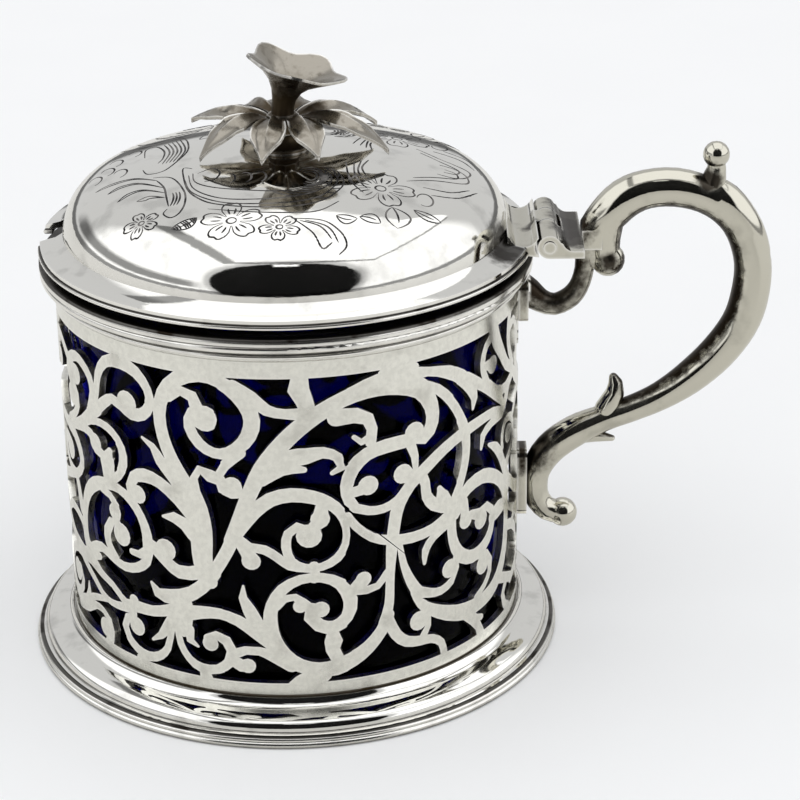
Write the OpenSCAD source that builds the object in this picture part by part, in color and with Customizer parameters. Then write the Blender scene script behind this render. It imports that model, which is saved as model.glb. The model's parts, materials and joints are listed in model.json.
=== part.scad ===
// Mustard pot: a pierced silver drum on a moulded foot, with a cast scroll
// handle, a hinged domed lid under a flower finial, and a loose glass liner.
// Millimetres, +Z up, origin at the centre of the foot's underside, handle on +X.

/* [Drum] */
// Outer radius of the pierced drum
body_r = 29.7; // [27:0.1:33]
// Thickness of the drum's sheet
drum_wall = 0.9; // [0.7:0.05:1.2]
// Height of the drum between foot and rim
drum_h = 45.7; // [40:0.1:52]
// Plain band below the piercing
band_low = 2.2; // [1.5:0.1:4]
// Plain band above the piercing
band_top = 2.3; // [1.5:0.1:4]
// Half width of the saw blade: narrower slits stay closed
saw_r = 0.12; // [0.08:0.01:0.2]

/* [Foot] */
// How far the foot stands out from the drum, over its edge wire
foot_out = 5.3; // [4.6:0.1:8]
// Height of the foot under the drum
foot_h = 4.2; // [3.6:0.1:6]
// Thickness of the foot's sheet
foot_wall = 0.9; // [0.7:0.05:1.2]
// Radial width of the wire round the foot's edge
foot_wire_w = 0.9; // [0.7:0.05:1.3]
// Thickness of the plate that carries the liner
base_t = 0.9; // [0.6:0.05:1.4]

/* [Rim] */
// Height of the moulding round the drum's mouth
rim_h = 3.4; // [2.8:0.1:5]
// How far that moulding stands out from the drum
rim_out = 1.8; // [1.4:0.1:2.6]

/* [Lid] */
// Open line between rim and lid, where the liner shows
lid_gap = 1.1; // [0.8:0.1:2]
// Thickness of the lid's sheet
lid_wall = 0.8; // [0.6:0.05:1.1]
// Height of the dome above its flange
dome_rise = 10.5; // [9.3:0.1:14]
// Radius of the dome's shoulder
shoulder_r = 7.3; // [5:0.1:8]
// Width of the flange outside the dome
flange_w = 2.9; // [2.4:0.1:4]
// Width of the opening for the spoon
notch_w = 6; // [4.5:0.1:9]
// Height of the opening for the spoon
notch_h = 3; // [2.2:0.1:4]

/* [Hinge] */
// Length of the hinge's barrel
hinge_len = 15; // [11:0.5:18]
// Outer radius of the knuckles
barrel_r = 1.5; // [1.3:0.05:1.8]
// Radius of the pin
pin_r = 0.8; // [0.6:0.05:0.95]
// Running clearance of the lid's knuckle on the pin
pin_clear = 0.05; // [0.02:0.01:0.09]
// Side gap between knuckles
knuckle_gap = 0.15; // [0.1:0.05:0.3]

/* [Handle] */
// Reach of the handle beyond the hinge's axis
handle_out = 28.9; // [26:0.1:32]
// Thickness of the cast scroll at its stoutest
handle_d = 5.2; // [4.2:0.1:6]
// Thickness of the pads that join the handle to the drum
pad_t = 1.2; // [0.8:0.1:1.5]
// Width of those pads
pad_w = 4.2; // [3:0.1:6]

/* [Finial] */
// Radius of the flower
flower_r = 6.1; // [4.5:0.1:7.5]
// Height of the flower from its stalk's foot to its lip
flower_h = 6.4; // [5:0.1:9]
// Lean of the flower towards the handle, in degrees
flower_tilt = 16; // [0:1:25]
// Height of the boss that carries the leaves
boss_h = 4.3; // [3.5:0.1:6]
// Distance from the boss's axis to the flats where the leaves join
boss_flat = 1.9; // [1.6:0.1:2.4]
// Thickness of a leaf
leaf_t = 0.7; // [0.5:0.05:0.9]
// Widest part of a leaf
leaf_w = 4.8; // [3.5:0.1:5.2]

/* [Liner] */
// Clearance round the glass inside the drum
liner_clear = 0.5; // [0.3:0.05:1]
// Thickness of the glass wall
liner_wall = 1.7; // [1.2:0.1:2.5]
// Thickness of the glass bottom
liner_base = 2.4; // [1.6:0.1:4]
// How far the glass stands above the rim
liner_proud = 0.5; // [0.2:0.1:0.6]

/* [Hidden] */
$fn = 96;

// Levels from the foot upwards
drum_in_r = body_r - drum_wall;
drum_top = foot_h + drum_h;
foot_r = body_r + foot_out;
rim_r = body_r + rim_out;
rim_top = drum_top + rim_h;
pierce_z0 = foot_h + band_low;
pierce_z1 = drum_top - band_top;
lid_z = rim_top + lid_gap;
wire_h = 0.6;
flange_z = lid_z + wire_h;
lid_in = 0.3;
lid_r = rim_r - lid_in;
dome_r = lid_r - flange_w;
flange_rise = 1.8;
dome_z = lid_z + flange_rise;
apex_z = dome_z + dome_rise;
crown_x = dome_r - shoulder_r;
crown_r = (pow(crown_x, 2) + pow(dome_rise, 2) - pow(shoulder_r, 2)) / (2 * (dome_rise - shoulder_r));
boss_z = apex_z + boss_h;
boss_r = 3.2;
seat_z = apex_z - crown_r + sqrt(crown_r * crown_r - boss_r * boss_r);
foot_ring_r = foot_r - foot_wire_w;
liner_r = drum_in_r - liner_clear;
liner_top = rim_top + liner_proud;

// Hinge axis, and the knuckles along it from the near end
hinge_out = 1.7;
hinge_up = 1.2;
hinge_x = rim_r + hinge_out;
hinge_z = lid_z + hinge_up;
hinge_free_r = barrel_r + 0.35;
knuckle_y = [-hinge_len / 2, -hinge_len * 0.06, hinge_len * 0.22, hinge_len / 2];
leaf_x = dome_r - 0.4;
plate_len = 4.4;
plate_t = 0.95;
plate_x = hinge_x + plate_len;

// Silver and glass as drawn on screen
silver = [0.82, 0.82, 0.8];
dark_silver = [0.6, 0.59, 0.56];
cobalt = [0.06, 0.07, 0.4, 0.7];

// The scrollwork is drawn flat for a drum of this radius and these heights, and bent round the real one
draw_r = 29.7;
draw_z0 = 6.4;
draw_z1 = 47.6;
// The drum is sawn in this many flat sectors
sectors = 12;
// Difference in radius between neighbouring sectors
hair = 0.01;
// Longest straight step along a stroke
stroke_step = 1.8;

// Strokes of the scrollwork on one half of the drum: [arc length from the front, height, width]
strokes = [
    // Great stem rising to the arch, and its right-hand leaves
    [[-18, 18, 0.5], [-17.2, 16.9, 1.5], [-14.8, 16.8, 2.2], [-12, 18, 1.9], [-9.6, 20.4, 1.8],
        [-7.2, 24.4, 1.8], [-5.6, 28.2, 1.9], [-4.2, 32, 1.9], [-2.4, 35.8, 2.2], [0.2, 39.3, 2.2],
        [3, 41.9, 2.2], [6.2, 43.9, 2.1], [9, 45, 2.2], [12, 45.7, 2.9], [15, 45.4, 3.1],
        [17.9, 43.9, 2.6], [19.4, 41.3, 2.1], [19.5, 39, 2], [18.4, 37.4, 1.9], [17, 37.9, 2]],
    [[16, 46.2, 2.2], [19, 45.9, 1.2], [22, 45, 1.7], [24.5, 43.6, 2], [26.4, 41.6, 1.9],
        [27.1, 39.8, 1.3], [26.8, 38.6, 0.5]],
    [[25.5, 43, 1.9], [27.9, 41.6, 1.5], [30, 40, 1.2], [32, 38.4, 1.1], [34, 37, 1.2]],
    [[18, 44.3, 1.5], [20.4, 43.2, 1.3], [22.6, 41, 1.4], [24.2, 38.5, 1.5], [25.2, 36.2, 1.7],
        [25.5, 34, 1.5], [25.3, 32, 1.4], [24.7, 30.2, 1.4], [23.8, 28.4, 1.6], [22.8, 26.4, 1.7],
        [22.7, 24.4, 1.7], [22.9, 22, 1.7], [23.9, 19.8, 1.9], [25.8, 18.4, 1.9], [28, 18.2, 1.9],
        [30.2, 19.2, 1.7], [31.3, 21, 1.4], [31.2, 22.9, 1.3], [29.9, 24, 1.2], [28.3, 23.7, 1.3]],
    [[2.4, 47.8, 2], [2.2, 46.2, 2.6], [2.9, 44.6, 2.1], [3.4, 43, 1.8]],
    [[-5.6, 46.6, 1.6], [-3.5, 45.2, 1.8], [-1.6, 43.6, 1.5], [0.5, 43.1, 1.3], [3, 43, 1.8]],
    // Hooks and leaves below the arch
    [[6.6, 42.2, 2.2], [9.2, 42.2, 2], [10.7, 41.5, 1.7], [11.2, 40.1, 1.4], [11, 38.4, 1.4]],
    [[11.2, 39.2, 1.2], [9.8, 38.6, 0.9], [8.9, 39.4, 0.6]],
    [[-2, 35.8, 2], [1, 37.2, 2.4], [3, 37.5, 2.1], [5, 37.8, 1.5], [6.7, 37, 1.3], [7.2, 35.6, 1.3],
        [6, 35, 0.6]],
    [[-2.6, 34.4, 1.8], [0, 35.9, 1.8], [2.6, 35.7, 0.8]],
    [[16.2, 37.6, 1.8], [13, 37.5, 1.9], [10.5, 36.9, 1.8], [8.6, 35.2, 1.9], [7.8, 33, 1.8],
        [8.1, 31, 1.6], [9, 29.9, 1.3], [10.6, 29.3, 1.2], [12.5, 29.2, 1.2], [14.4, 29.9, 1.3],
        [16, 31.4, 1.5], [17.4, 33, 1.4]],
    [[16.3, 37, 1.4], [16.9, 35.2, 1.1], [17, 33.6, 0.8], [16.8, 32.6, 0.8]],
    [[8.2, 32, 1.4], [9.4, 32.2, 1.4], [10.6, 32.7, 2.2]],
    [[15.2, 33.2, 2.2], [16.4, 32.4, 1.6]],
    // Long stem from the foot band through the crossing to the right
    [[12.4, 13.4, 1.6], [13.1, 16, 1.3], [13.3, 20, 1.2], [13.6, 24, 1.6], [14, 27, 1.7],
        [14.6, 29.3, 1.8], [16.2, 31.5, 1.7], [18.6, 33.3, 1.8], [21.6, 35, 1.7], [25, 36, 1.7],
        [28.5, 36.4, 1.5], [31.5, 36.3, 1.4], [34, 35.4, 1.5]],
    [[34, 35.2, 1.5], [31, 35, 1.2], [29, 34.1, 1.3], [28.6, 32.5, 0.6]],
    [[7.9, 29, 1.1], [9, 27.4, 1.1], [11, 25.6, 1.2], [13.5, 24.7, 1.4], [16.5, 24.3, 1.5],
        [19.5, 24.6, 1.5], [22, 25.6, 1.6]],
    [[17.8, 32.6, 1.5], [18.4, 31.2, 1.4], [18.6, 29.4, 1.5], [19.7, 27.9, 1.7], [21.2, 27.1, 1.7],
        [22.6, 26.6, 1.6]],
    [[20.6, 27.6, 1.6], [21, 29, 1.7], [20.6, 29.8, 0.8]],
    [[21.4, 28.6, 1.4], [22.2, 27.4, 1.2]],
    [[21.8, 24.6, 1.6], [19.6, 23.4, 1.2], [18.4, 22, 1.2], [18.2, 20.2, 0.5]],
    [[14.7, 23.4, 0.8], [15.2, 20.8, 1], [16.2, 18.2, 1.4], [17.4, 16.4, 1.6], [19, 15.8, 1.3],
        [20.8, 15.5, 1.2], [22.7, 16.3, 1.2], [23.6, 17.8, 1], [23.4, 19.3, 1.1]],
    // Right-hand scroll and the stem below it
    [[16.6, 16.6, 1], [17.6, 14.8, 1.3], [19.2, 13.4, 1.6], [22, 11.9, 2.1], [25, 11, 2.4],
        [28, 10.9, 2.2], [31, 11.3, 2.2], [33.4, 12.7, 2.2], [35.2, 15.4, 1.9], [35.8, 19, 1.6],
        [35.7, 22, 1.6], [34.7, 24.8, 1.8], [32.4, 27, 1.8], [29, 28.5, 2], [26, 28.2, 2],
        [24.4, 27, 1.8], [23.4, 25.4, 1.8]],
    [[25.2, 26.4, 1.2], [25.2, 24.6, 1.7], [25.6, 23.7, 2]],
    [[26.4, 24.2, 1.2], [28, 23.6, 1.6]],
    [[31.4, 21.8, 1.9], [33.2, 22.2, 2.4], [35.4, 22, 1.4]],
    [[28.2, 17.7, 1.2], [29.8, 17.2, 1.3], [30.8, 15.9, 1.2], [30.7, 14.4, 1], [29.4, 12.9, 1],
        [27.6, 12, 1]],
    [[25.4, 10.4, 1.6], [27, 9, 1.7], [28, 7.6, 1.3], [28.6, 6.2, 1.6]],
    [[27, 9.1, 1.2], [28.7, 8.6, 0.9]],
    [[30.4, 32.3, 0.5], [32.3, 31.2, 1.4], [33.9, 29.3, 1.5], [35.2, 27, 1.5], [36.6, 25, 1.5]],
    [[12.8, 14, 1.6], [14, 11.4, 1.5], [15.5, 10, 1.5], [17.5, 9.5, 1.4], [19.3, 9.2, 1.2],
        [20.8, 8.1, 1.1], [21.3, 6.2, 1.1]],
    [[17.8, 9.8, 1.2], [18.7, 11.3, 0.9], [18.6, 13, 1.1], [17.9, 14.4, 1.2]],
    // Two ringed scrolls at the middle
    [[13, 14.4, 1.6], [12, 12.4, 1.7], [10.3, 10.5, 1.9], [8.3, 9.2, 2.2], [6, 8.3, 2.3], [3.8, 8.2, 2],
        [1.5, 8.9, 1.9], [-0.4, 10.4, 2], [-1.6, 12.6, 1.9], [-2, 15, 1.8], [-1.7, 17.4, 1.6],
        [-0.4, 19.6, 1.5], [1.8, 20.9, 1.3], [4.4, 21, 1.3], [6.7, 19.9, 1.6], [8, 17.5, 2],
        [7.5, 15.2, 1.8], [5.8, 14, 1.8], [4, 14.4, 1.8], [2.9, 15.6, 1.7], [3.2, 16.7, 1.8]],
    [[-1.3, 17.3, 1.4], [-0.2, 18.3, 1.1], [1.1, 18.5, 1], [1.9, 17.6, 1.6], [2.8, 16.9, 1.4]],
    [[5.6, 13.6, 1.3], [5.7, 12, 2.3], [5.6, 10.8, 1.8], [6.2, 9.4, 1.6]],
    [[8.4, 18.8, 1.4], [10.2, 18.5, 1.1], [11.6, 18.8, 1], [12.9, 20.4, 1]],
    [[8.6, 19.2, 1.2], [9.8, 20.1, 1.8]],
    [[0.6, 6.2, 1.2], [2.2, 7.2, 1.6], [4.6, 7.3, 1.6]],
    [[-5.6, 27.4, 1.8], [-3.6, 30, 1.8], [-1.5, 31.8, 1.9], [1, 32.4, 1.9], [3.5, 32, 1.8],
        [5.4, 31.1, 1.6], [6.9, 29.6, 1.4], [7.6, 27.5, 1.1], [7.5, 25.3, 1.1], [6.4, 23.5, 1.2],
        [4.5, 22.5, 1.1], [2.4, 22.5, 1.1], [0.8, 23.5, 1.1], [0.2, 25.4, 1.2], [0.5, 27.2, 1.2],
        [1.6, 28.1, 1.3], [2.8, 27.4, 1.5]],
    [[4.6, 31, 1.3], [4.5, 29.6, 1.9], [4.4, 28.6, 2], [3.4, 27.8, 1.4]],
    [[-5.4, 26, 1.6], [-4.2, 25.3, 1.2], [-2.4, 25, 1.3], [-0.9, 24, 1.2], [0.6, 22.8, 1.2],
        [2.5, 22.4, 1.1]],
    [[-5.4, 26, 1.6], [-4.7, 24.4, 1.4], [-4.1, 23.5, 2]],
    [[3.5, 22.6, 1.4], [3.5, 21, 1.4]],
    // Trunk at the left with its leaves, and the upper scroll it ends in
    [[-9.6, 20, 2], [-10.4, 22.4, 2.6], [-10.5, 25, 2.8], [-10.7, 28, 2.8], [-11.2, 30.6, 2.4],
        [-12.6, 33.4, 2], [-14, 35.8, 1.9], [-15.1, 38.6, 1.8], [-15.5, 41.6, 1.8], [-14.8, 44.4, 1.9],
        [-12.9, 46.6, 1.9], [-10, 47.6, 1.8], [-7.4, 47.1, 1.8], [-5, 45.4, 2], [-3.6, 43.2, 2],
        [-3.5, 41.2, 2], [-4.5, 39.2, 1.8], [-6.4, 37.8, 1.5], [-8.4, 37.6, 1.4], [-10.2, 38.6, 1.5],
        [-11.4, 40.6, 1.5], [-11, 42.4, 1.7], [-9.8, 42.6, 2]],
    [[-14.2, 44.2, 1.6], [-12.4, 45.2, 1.3], [-10.9, 44.7, 1.6], [-10.4, 43.4, 1.7]],
    [[-5, 37.9, 1.5], [-7, 36, 1.3], [-7.9, 34.5, 1.3], [-7.4, 32.9, 1.5], [-6.2, 32.4, 1.4],
        [-4.6, 32.6, 1.4]],
    [[-7.7, 34.1, 1.6], [-9.1, 34.5, 1.7], [-10.4, 35.1, 1.2], [-11.1, 33.9, 1], [-10.9, 32.2, 1.1],
        [-10.2, 30, 1.4], [-9.6, 27, 1.2], [-9.6, 24, 1], [-9.6, 22, 0.8]],
    [[-18.3, 37.8, 0.4], [-16.8, 37, 1], [-15.7, 35.3, 1.6], [-14.2, 33.6, 1.6], [-12.6, 31.6, 1.6]],
    [[-11.2, 28.2, 1.8], [-13.4, 30.6, 1.8], [-16, 32.3, 1.7], [-18.2, 32.7, 1.9], [-20, 32, 1.6],
        [-20.8, 30.5, 1.4], [-20.4, 29, 1.6]],
    [[-15.7, 27.8, 0.4], [-14.2, 28, 1.5], [-12.7, 27.4, 1.8], [-11.5, 26, 1.8]],
    [[-10.2, 21.4, 2], [-12.2, 20.7, 1.9], [-13.8, 20.6, 1.9], [-15.4, 21.5, 1.7], [-17, 22.9, 1.9],
        [-18.4, 23.6, 1.6]],
    // Ringed scroll at the left
    [[-30.6, 17.4, 2], [-31.7, 19.4, 1.8], [-31.9, 21.6, 1.6], [-31.4, 24.2, 1.6], [-30.2, 26.6, 1.8],
        [-28.2, 28.4, 1.9], [-25.6, 29.4, 1.6], [-23, 29.5, 1.3], [-20.8, 28.6, 1.5], [-19.2, 26.8, 1.4],
        [-18.4, 24.6, 1.6], [-18.3, 22.4, 1.7], [-18.7, 20.7, 1.4], [-20.3, 19.4, 1.3],
        [-22.6, 18.8, 1.3], [-25, 19.2, 1.3], [-27.4, 19.8, 1.4], [-29.4, 19, 1.6], [-30.4, 17.8, 1.8]],
    [[-24.4, 19.4, 1.4], [-25.8, 21, 1.4], [-25.9, 22.8, 1.5], [-25, 24.2, 1.5], [-23.4, 24.2, 1.6]],
    [[-26.6, 28.4, 1.2], [-24.9, 28, 1.1], [-23.7, 27, 1.4], [-23.9, 25.6, 2]],
    [[-18.4, 22.3, 1.4], [-19.8, 21.4, 1.1], [-21.1, 21.4, 0.9]],
    [[-31, 18.4, 2], [-29.4, 18.2, 2.2], [-28.2, 18.2, 1.1]],
    // Upper left scrolls
    [[-28.4, 38, 1.8], [-27.4, 39.6, 1.5], [-26.6, 41.5, 1.2], [-26, 44, 1.3], [-24.4, 46.2, 1.5],
        [-21.5, 47, 1.9], [-18.8, 46.3, 1.7], [-17.1, 44.4, 1.3], [-16.9, 42.4, 1.4], [-18.1, 40.9, 1.6],
        [-19.9, 40.6, 1.8], [-21.6, 41.2, 1.5], [-23.3, 41.6, 1.4], [-24.9, 40.7, 1.5],
        [-26.4, 39.4, 1.6], [-28.2, 38.2, 1.8]],
    [[-16.9, 42.8, 1.4], [-15.6, 42.8, 1.2]],
    [[-28.2, 38.6, 1.6], [-27.5, 41, 1.3], [-28, 43, 1.4], [-29.6, 44.2, 1.4], [-31.5, 44.6, 1.4],
        [-33.6, 43.7, 1.6], [-34.4, 42, 1.8], [-33.2, 40.4, 1.8], [-32.1, 39.2, 1.6], [-31.9, 37.8, 1.3],
        [-33, 36.3, 1.1], [-35, 35, 1.2]],
    [[-26.4, 39.2, 1.6], [-28.3, 37.9, 1.8], [-30.5, 36.2, 1.5], [-33, 34.9, 1.5], [-36, 33.9, 1.6]],
    [[-31.4, 35.3, 1.1], [-28.5, 36.9, 0.9], [-26, 37.5, 1.1], [-23.6, 37, 1.3], [-22, 35.4, 1.4],
        [-21.8, 33.3, 1.5], [-22.8, 31.4, 1.3], [-24.6, 30, 1.4]],
    [[-32.6, 34.8, 1.2], [-30.5, 35.3, 1.2], [-28.6, 35.2, 1.5], [-27.6, 34.2, 2]],
    [[-27.4, 33.6, 1.6], [-26, 33.2, 1.4]],
    [[-25.2, 30, 1.6], [-25.2, 31.5, 2.2], [-25, 33, 2.4], [-24.4, 34.2, 1]],
    [[-36, 33.7, 1.6], [-33.6, 33.2, 1.6], [-32, 31.6, 1.5], [-31.7, 29.6, 1.3], [-33.4, 27.8, 1.3],
        [-36, 26.8, 1.4]],
    [[-34, 27.4, 1.3], [-33.2, 25.4, 1.4], [-32.6, 23, 1.5]],
    // Lower left scrolls and the foot band
    [[-32.6, 16.8, 2], [-30.5, 17, 2.2], [-28, 15.9, 1.3], [-25.5, 15.2, 1.1], [-24, 14.3, 1.1],
        [-22.8, 13.5, 1.5], [-20.5, 13.8, 1.7], [-18, 14, 1.5], [-15.5, 14.8, 1.6], [-13.6, 15.6, 2]],
    [[-33.4, 16, 1.2], [-30, 14.3, 1.1], [-28, 13, 1], [-26, 12.5, 1], [-24, 12.7, 1.2], [-22.5, 13, 1.4]],
    [[-21.5, 13.6, 1.4], [-21.5, 12, 1.4], [-22.7, 11.5, 1.3], [-23.2, 10.2, 1.4], [-22.6, 8.8, 1.3],
        [-21, 7.6, 1.3], [-19, 7.2, 1.4], [-17.2, 7.9, 1.2], [-16, 9.3, 1], [-15.5, 11, 0.9],
        [-15.2, 12.6, 1]],
    [[-20.4, 7, 1.4], [-20.2, 6.2, 2.2]],
    [[-18.3, 9.9, 0.4], [-17, 10.8, 1], [-15.9, 12.2, 1.6], [-14.4, 14, 2.4]],
    [[-13.6, 12.7, 2.4], [-13.6, 14.6, 3], [-13.6, 16.4, 3]],
    [[-14.4, 12.6, 0.9], [-14, 10.4, 1], [-12.9, 8.6, 1.1], [-11.2, 7.6, 1.4], [-9, 7.8, 1.3],
        [-7.4, 9, 1.6], [-7, 10.6, 1.6], [-7.7, 12, 1.6], [-9.1, 12.6, 1.2], [-10.2, 12, 1.2]],
    [[-10.8, 7.2, 1.4], [-10.6, 6.2, 1.8]],
    [[-12.7, 12.8, 1.4], [-12.6, 11.2, 1.1], [-11.6, 10.6, 0.4]],
    [[-7, 9.4, 1.6], [-5.8, 8.7, 1.8], [-4.9, 8.8, 1.9]],
    [[-6.8, 10.2, 1.4], [-5.2, 10.9, 1.2], [-3.5, 10.9, 1.2], [-1.6, 10.2, 1.7], [0.5, 9, 2]],
    [[-13, 15, 2.2], [-11, 15.5, 1.8], [-8.5, 15.7, 1.5], [-6, 15, 1.6], [-3.8, 13.5, 1.8], [-1.8, 12, 2]],
    [[-5.2, 19.9, 0.3], [-5.3, 18.3, 1.1], [-4.6, 16.7, 1.7], [-3.8, 15, 1.8], [-3, 13.5, 1.6]],
    [[-36, 8, 1.3], [-32.5, 9, 1.3], [-30, 10.4, 1.1], [-28, 10.4, 1], [-26.7, 9.6, 1.1],
        [-26.3, 8.2, 1.2], [-27, 6.2, 1.8]],
    [[-36, 8.8, 1.2], [-33, 10.1, 1.1], [-30.5, 11.4, 1], [-28.5, 12.1, 0.9], [-26.6, 12.6, 0.8]],
    [[-31.9, 12.9, 0.4], [-31.9, 11.6, 1.1], [-32.6, 10.4, 1.2]],
    // Right edge of the front and the join behind the handle
    [[31.6, 47.6, 2.4], [32.5, 45.6, 2.2], [34, 43.5, 1.8], [35.8, 41.2, 1.6], [38, 39.9, 1.5],
        [41, 37.4, 1.7], [45, 35.6, 1.8], [49, 35.6, 1.8], [53, 34.4, 1.7], [57.4, 33.8, 1.6]],
    [[31.6, 47, 1.4], [29.7, 45.9, 1.1], [28.9, 44, 1.1], [29.3, 42.2, 1.2], [30.4, 40.2, 1.2]],
    [[29.2, 43.4, 1], [31.2, 43, 1.8]],
    [[30.4, 40.6, 1.2], [32.6, 39, 1.1], [35.4, 38.2, 1.5], [38.6, 39.2, 1.4]],
    [[34, 35.3, 1.5], [35.6, 36.8, 1.4], [36.4, 38.2, 1.3]],
    [[34.4, 30.2, 0.8], [34.3, 32, 0.9], [35.4, 33.5, 1], [37.6, 33.3, 1.2], [39, 31.6, 1.2],
        [38.4, 29.4, 1.2], [36.6, 28, 1.2], [35.2, 27.2, 1.4]],
    [[38.6, 31.4, 1.2], [36.9, 31.4, 2]],
    [[38.8, 30.4, 1.2], [41, 29.4, 1.2], [43.4, 28.6, 1.3]],
    [[38.4, 33, 1.2], [40.6, 34.8, 1.3], [42.4, 36.6, 1.3]],
    [[37, 47.8, 1.5], [36.4, 45, 1.3], [37, 42.6, 1.2], [38.6, 40.2, 1.2]],
    [[36.6, 45.6, 1.3], [38.8, 46.2, 1.2], [40.6, 44.6, 1.2], [41, 42.4, 1.3]],
    [[42.4, 36.6, 1.6], [40.8, 39.4, 1.6], [41.2, 42.6, 1.6], [43.6, 45.4, 1.7], [47, 46.6, 2],
        [50.2, 44.8, 1.6], [51, 41.8, 1.5], [49.2, 39.6, 1.4], [46.8, 40.4, 1.4]],
    [[46.6, 46.4, 2], [46.6, 47.8, 2.4]],
    [[50.6, 43.6, 1.4], [53.4, 45.4, 1.3], [56, 45.1, 1.3], [58.6, 43.6, 1.4]],
    [[53.6, 45.4, 1.2], [53, 43.4, 1.2], [54.4, 42, 2]],
    [[52.6, 45.2, 1.3], [53.2, 47.8, 1.5]],
    [[36.6, 25, 1.5], [39.5, 22.8, 1.7], [43, 21.2, 1.8], [47, 21.3, 1.8], [50.5, 23.3, 1.7],
        [51.5, 26.6, 1.6], [49.6, 29.6, 1.5], [46, 30.4, 1.4], [43.3, 28.6, 1.3], [43.6, 26.4, 1.4]],
    [[35.8, 23, 1.6], [36.8, 24.8, 1.5]],
    [[47, 30.2, 1.4], [48, 32.8, 1.4], [47.6, 35.6, 1.6]],
    [[51.4, 25.4, 1.5], [54, 25.6, 1.4], [57.4, 26.8, 1.4]],
    [[51.4, 27, 1.4], [53, 30.6, 1.3], [52.4, 34.4, 1.4]],
    [[38, 9.8, 1.4], [41, 10.6, 1.5], [44.5, 13, 1.7], [46.6, 17, 1.8], [45.6, 21, 1.7]],
    [[33.2, 12.2, 1.6], [35.4, 11.2, 1.5], [38.4, 9.9, 1.4]],
    [[36.4, 10.8, 1.2], [34.8, 9, 1.2], [35.4, 7.4, 1.2], [36.8, 6.2, 1.6]],
    [[46, 15.2, 1.6], [49, 12.2, 1.5], [53, 10.4, 1.4], [57.4, 8.6, 1.6]],
    [[41.2, 10.6, 1.3], [42.4, 8.6, 1.2], [44.6, 7.3, 1.3], [47, 7.8, 1.2], [47.6, 9.6, 1.1],
        [46.4, 10.2, 1.2]],
    [[44.6, 7.2, 1.4], [44.4, 6.2, 1.8]],
    [[50.4, 11.4, 1.3], [52, 8.8, 1.2], [51.4, 6.2, 1.5]],
    [[35.8, 18.5, 1.5], [38.5, 17.6, 1.5], [41, 15.8, 1.2], [42.2, 13.4, 0.5]],
    [[38.4, 17.6, 1.3], [40.8, 19, 1.3], [42.8, 18.2, 2]],
    [[50.2, 23, 1.6], [53.2, 20.4, 1.6], [56.6, 18, 1.6], [60.6, 16.9, 1.9]],
    [[53.6, 20.2, 1.3], [56, 21.9, 1.3], [58.8, 22, 1.2], [61.2, 21, 1.3]],
    [[60.4, 16.2, 1.3], [57.4, 16.2, 1.3], [54.8, 14.6, 1.4], [54.2, 12, 1.4], [55.8, 10, 1.3],
        [58.2, 10.3, 1.2], [59.2, 12.2, 1.2], [58.2, 13.6, 1.4]],
    [[59.4, 27.6, 1.2], [56.6, 27.8, 1.3], [54.9, 29.8, 1.3], [55.8, 31.8, 1.3], [57.6, 31, 1.6]],
    [[12.6, 47, 1.2], [17, 47, 1.2]],
];

// Round eyes and buds that end the scrolls: [arc length, height, radius]
eyes = [
    [16.9, 38.4, 1.4], [10.6, 32.7, 1.3], [15.2, 33.3, 1.3], [28.6, 22.7, 1.4], [25.4, 23.8, 1.2],
    [29, 16.1, 1.4], [22.3, 18.1, 1.3], [17.3, 12.4, 1.35], [4.2, 16.6, 1.1], [1.7, 17.2, 0.9],
    [9.8, 20.1, 1], [3, 26.8, 1.6], [4.4, 29, 1.2], [-4.1, 23.4, 1.2], [-9.4, 42, 1.7],
    [-6.1, 33.4, 1.2], [-19.5, 29.8, 1.25], [-15.6, 23.2, 1.5], [-22.9, 23.2, 1.6], [-24, 26, 1.2],
    [-20.6, 41.8, 1.6], [-32, 42, 1.4], [-33.3, 38.9, 1.6], [-27.5, 34.3, 1.3], [-25, 32.4, 1.5],
    [-21.2, 14.5, 0.8], [-20.9, 10.9, 1.3], [-9.9, 11.3, 1.05], [-5, 8.7, 1], [-27.7, 8.2, 1.35],
    [31.3, 42.9, 1.2], [36.7, 31.3, 1.3], [46.7, 41.6, 1.5], [54.5, 41.9, 1.3], [45.2, 26, 1.6],
    [46, 10.2, 1.2], [42.7, 17.8, 1.2], [57, 12.8, 1.6], [57.4, 30.4, 1.6],
];

// Point between b and c on a smooth curve through a, b, c and d
function curve_point(a, b, c, d, t) =
    0.5 * (2 * b + (c - a) * t + (2 * a - 5 * b + 4 * c - d) * t * t + (3 * b - a - 3 * c + d) * t * t * t);

// Smooth line through points, in steps no longer than step
function smooth_line(p, step) =
    let (last = len(p) - 1, q = concat([2 * p[0] - p[1]], p, [2 * p[last] - p[last - 1]]))
    concat([for (i = [1:last])
        let (n = max(1, ceil(norm([q[i + 1][0] - q[i][0], q[i + 1][1] - q[i][1]]) / step)))
        for (k = [0:n - 1]) curve_point(q[i - 1], q[i], q[i + 1], q[i + 2], k / n)], [p[last]]);

// Direction of a line at its point i, in its first two coordinates
function direction(l, i) =
    let (d = l[min(i + 1, len(l) - 1)] - l[max(i - 1, 0)], n = norm([d[0], d[1]]))
    [d[0] / n, d[1] / n];

// Left and right edge points of a stroke along its line
function stroke_edges(l) = [for (i = [0:len(l) - 1])
    let (d = direction(l, i), w = max(l[i][2], 0.1) / 2)
    [[l[i][0] - d[1] * w, l[i][1] + d[0] * w], [l[i][0] + d[1] * w, l[i][1] - d[0] * w]]];

// Angle round the drum of a place in the flat drawing
function turn(u) = u / draw_r * 180 / PI;

// Height on the drum of a place in the flat drawing
function rise(z) = pierce_z0 + (z - draw_z0) * rise_scale;

// Place in a sector's plane of a point in the flat drawing, with a the sector's angle
function in_sector(p, a) = [saw_r_out * sin(turn(p[0]) - a), rise(p[1])];

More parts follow.
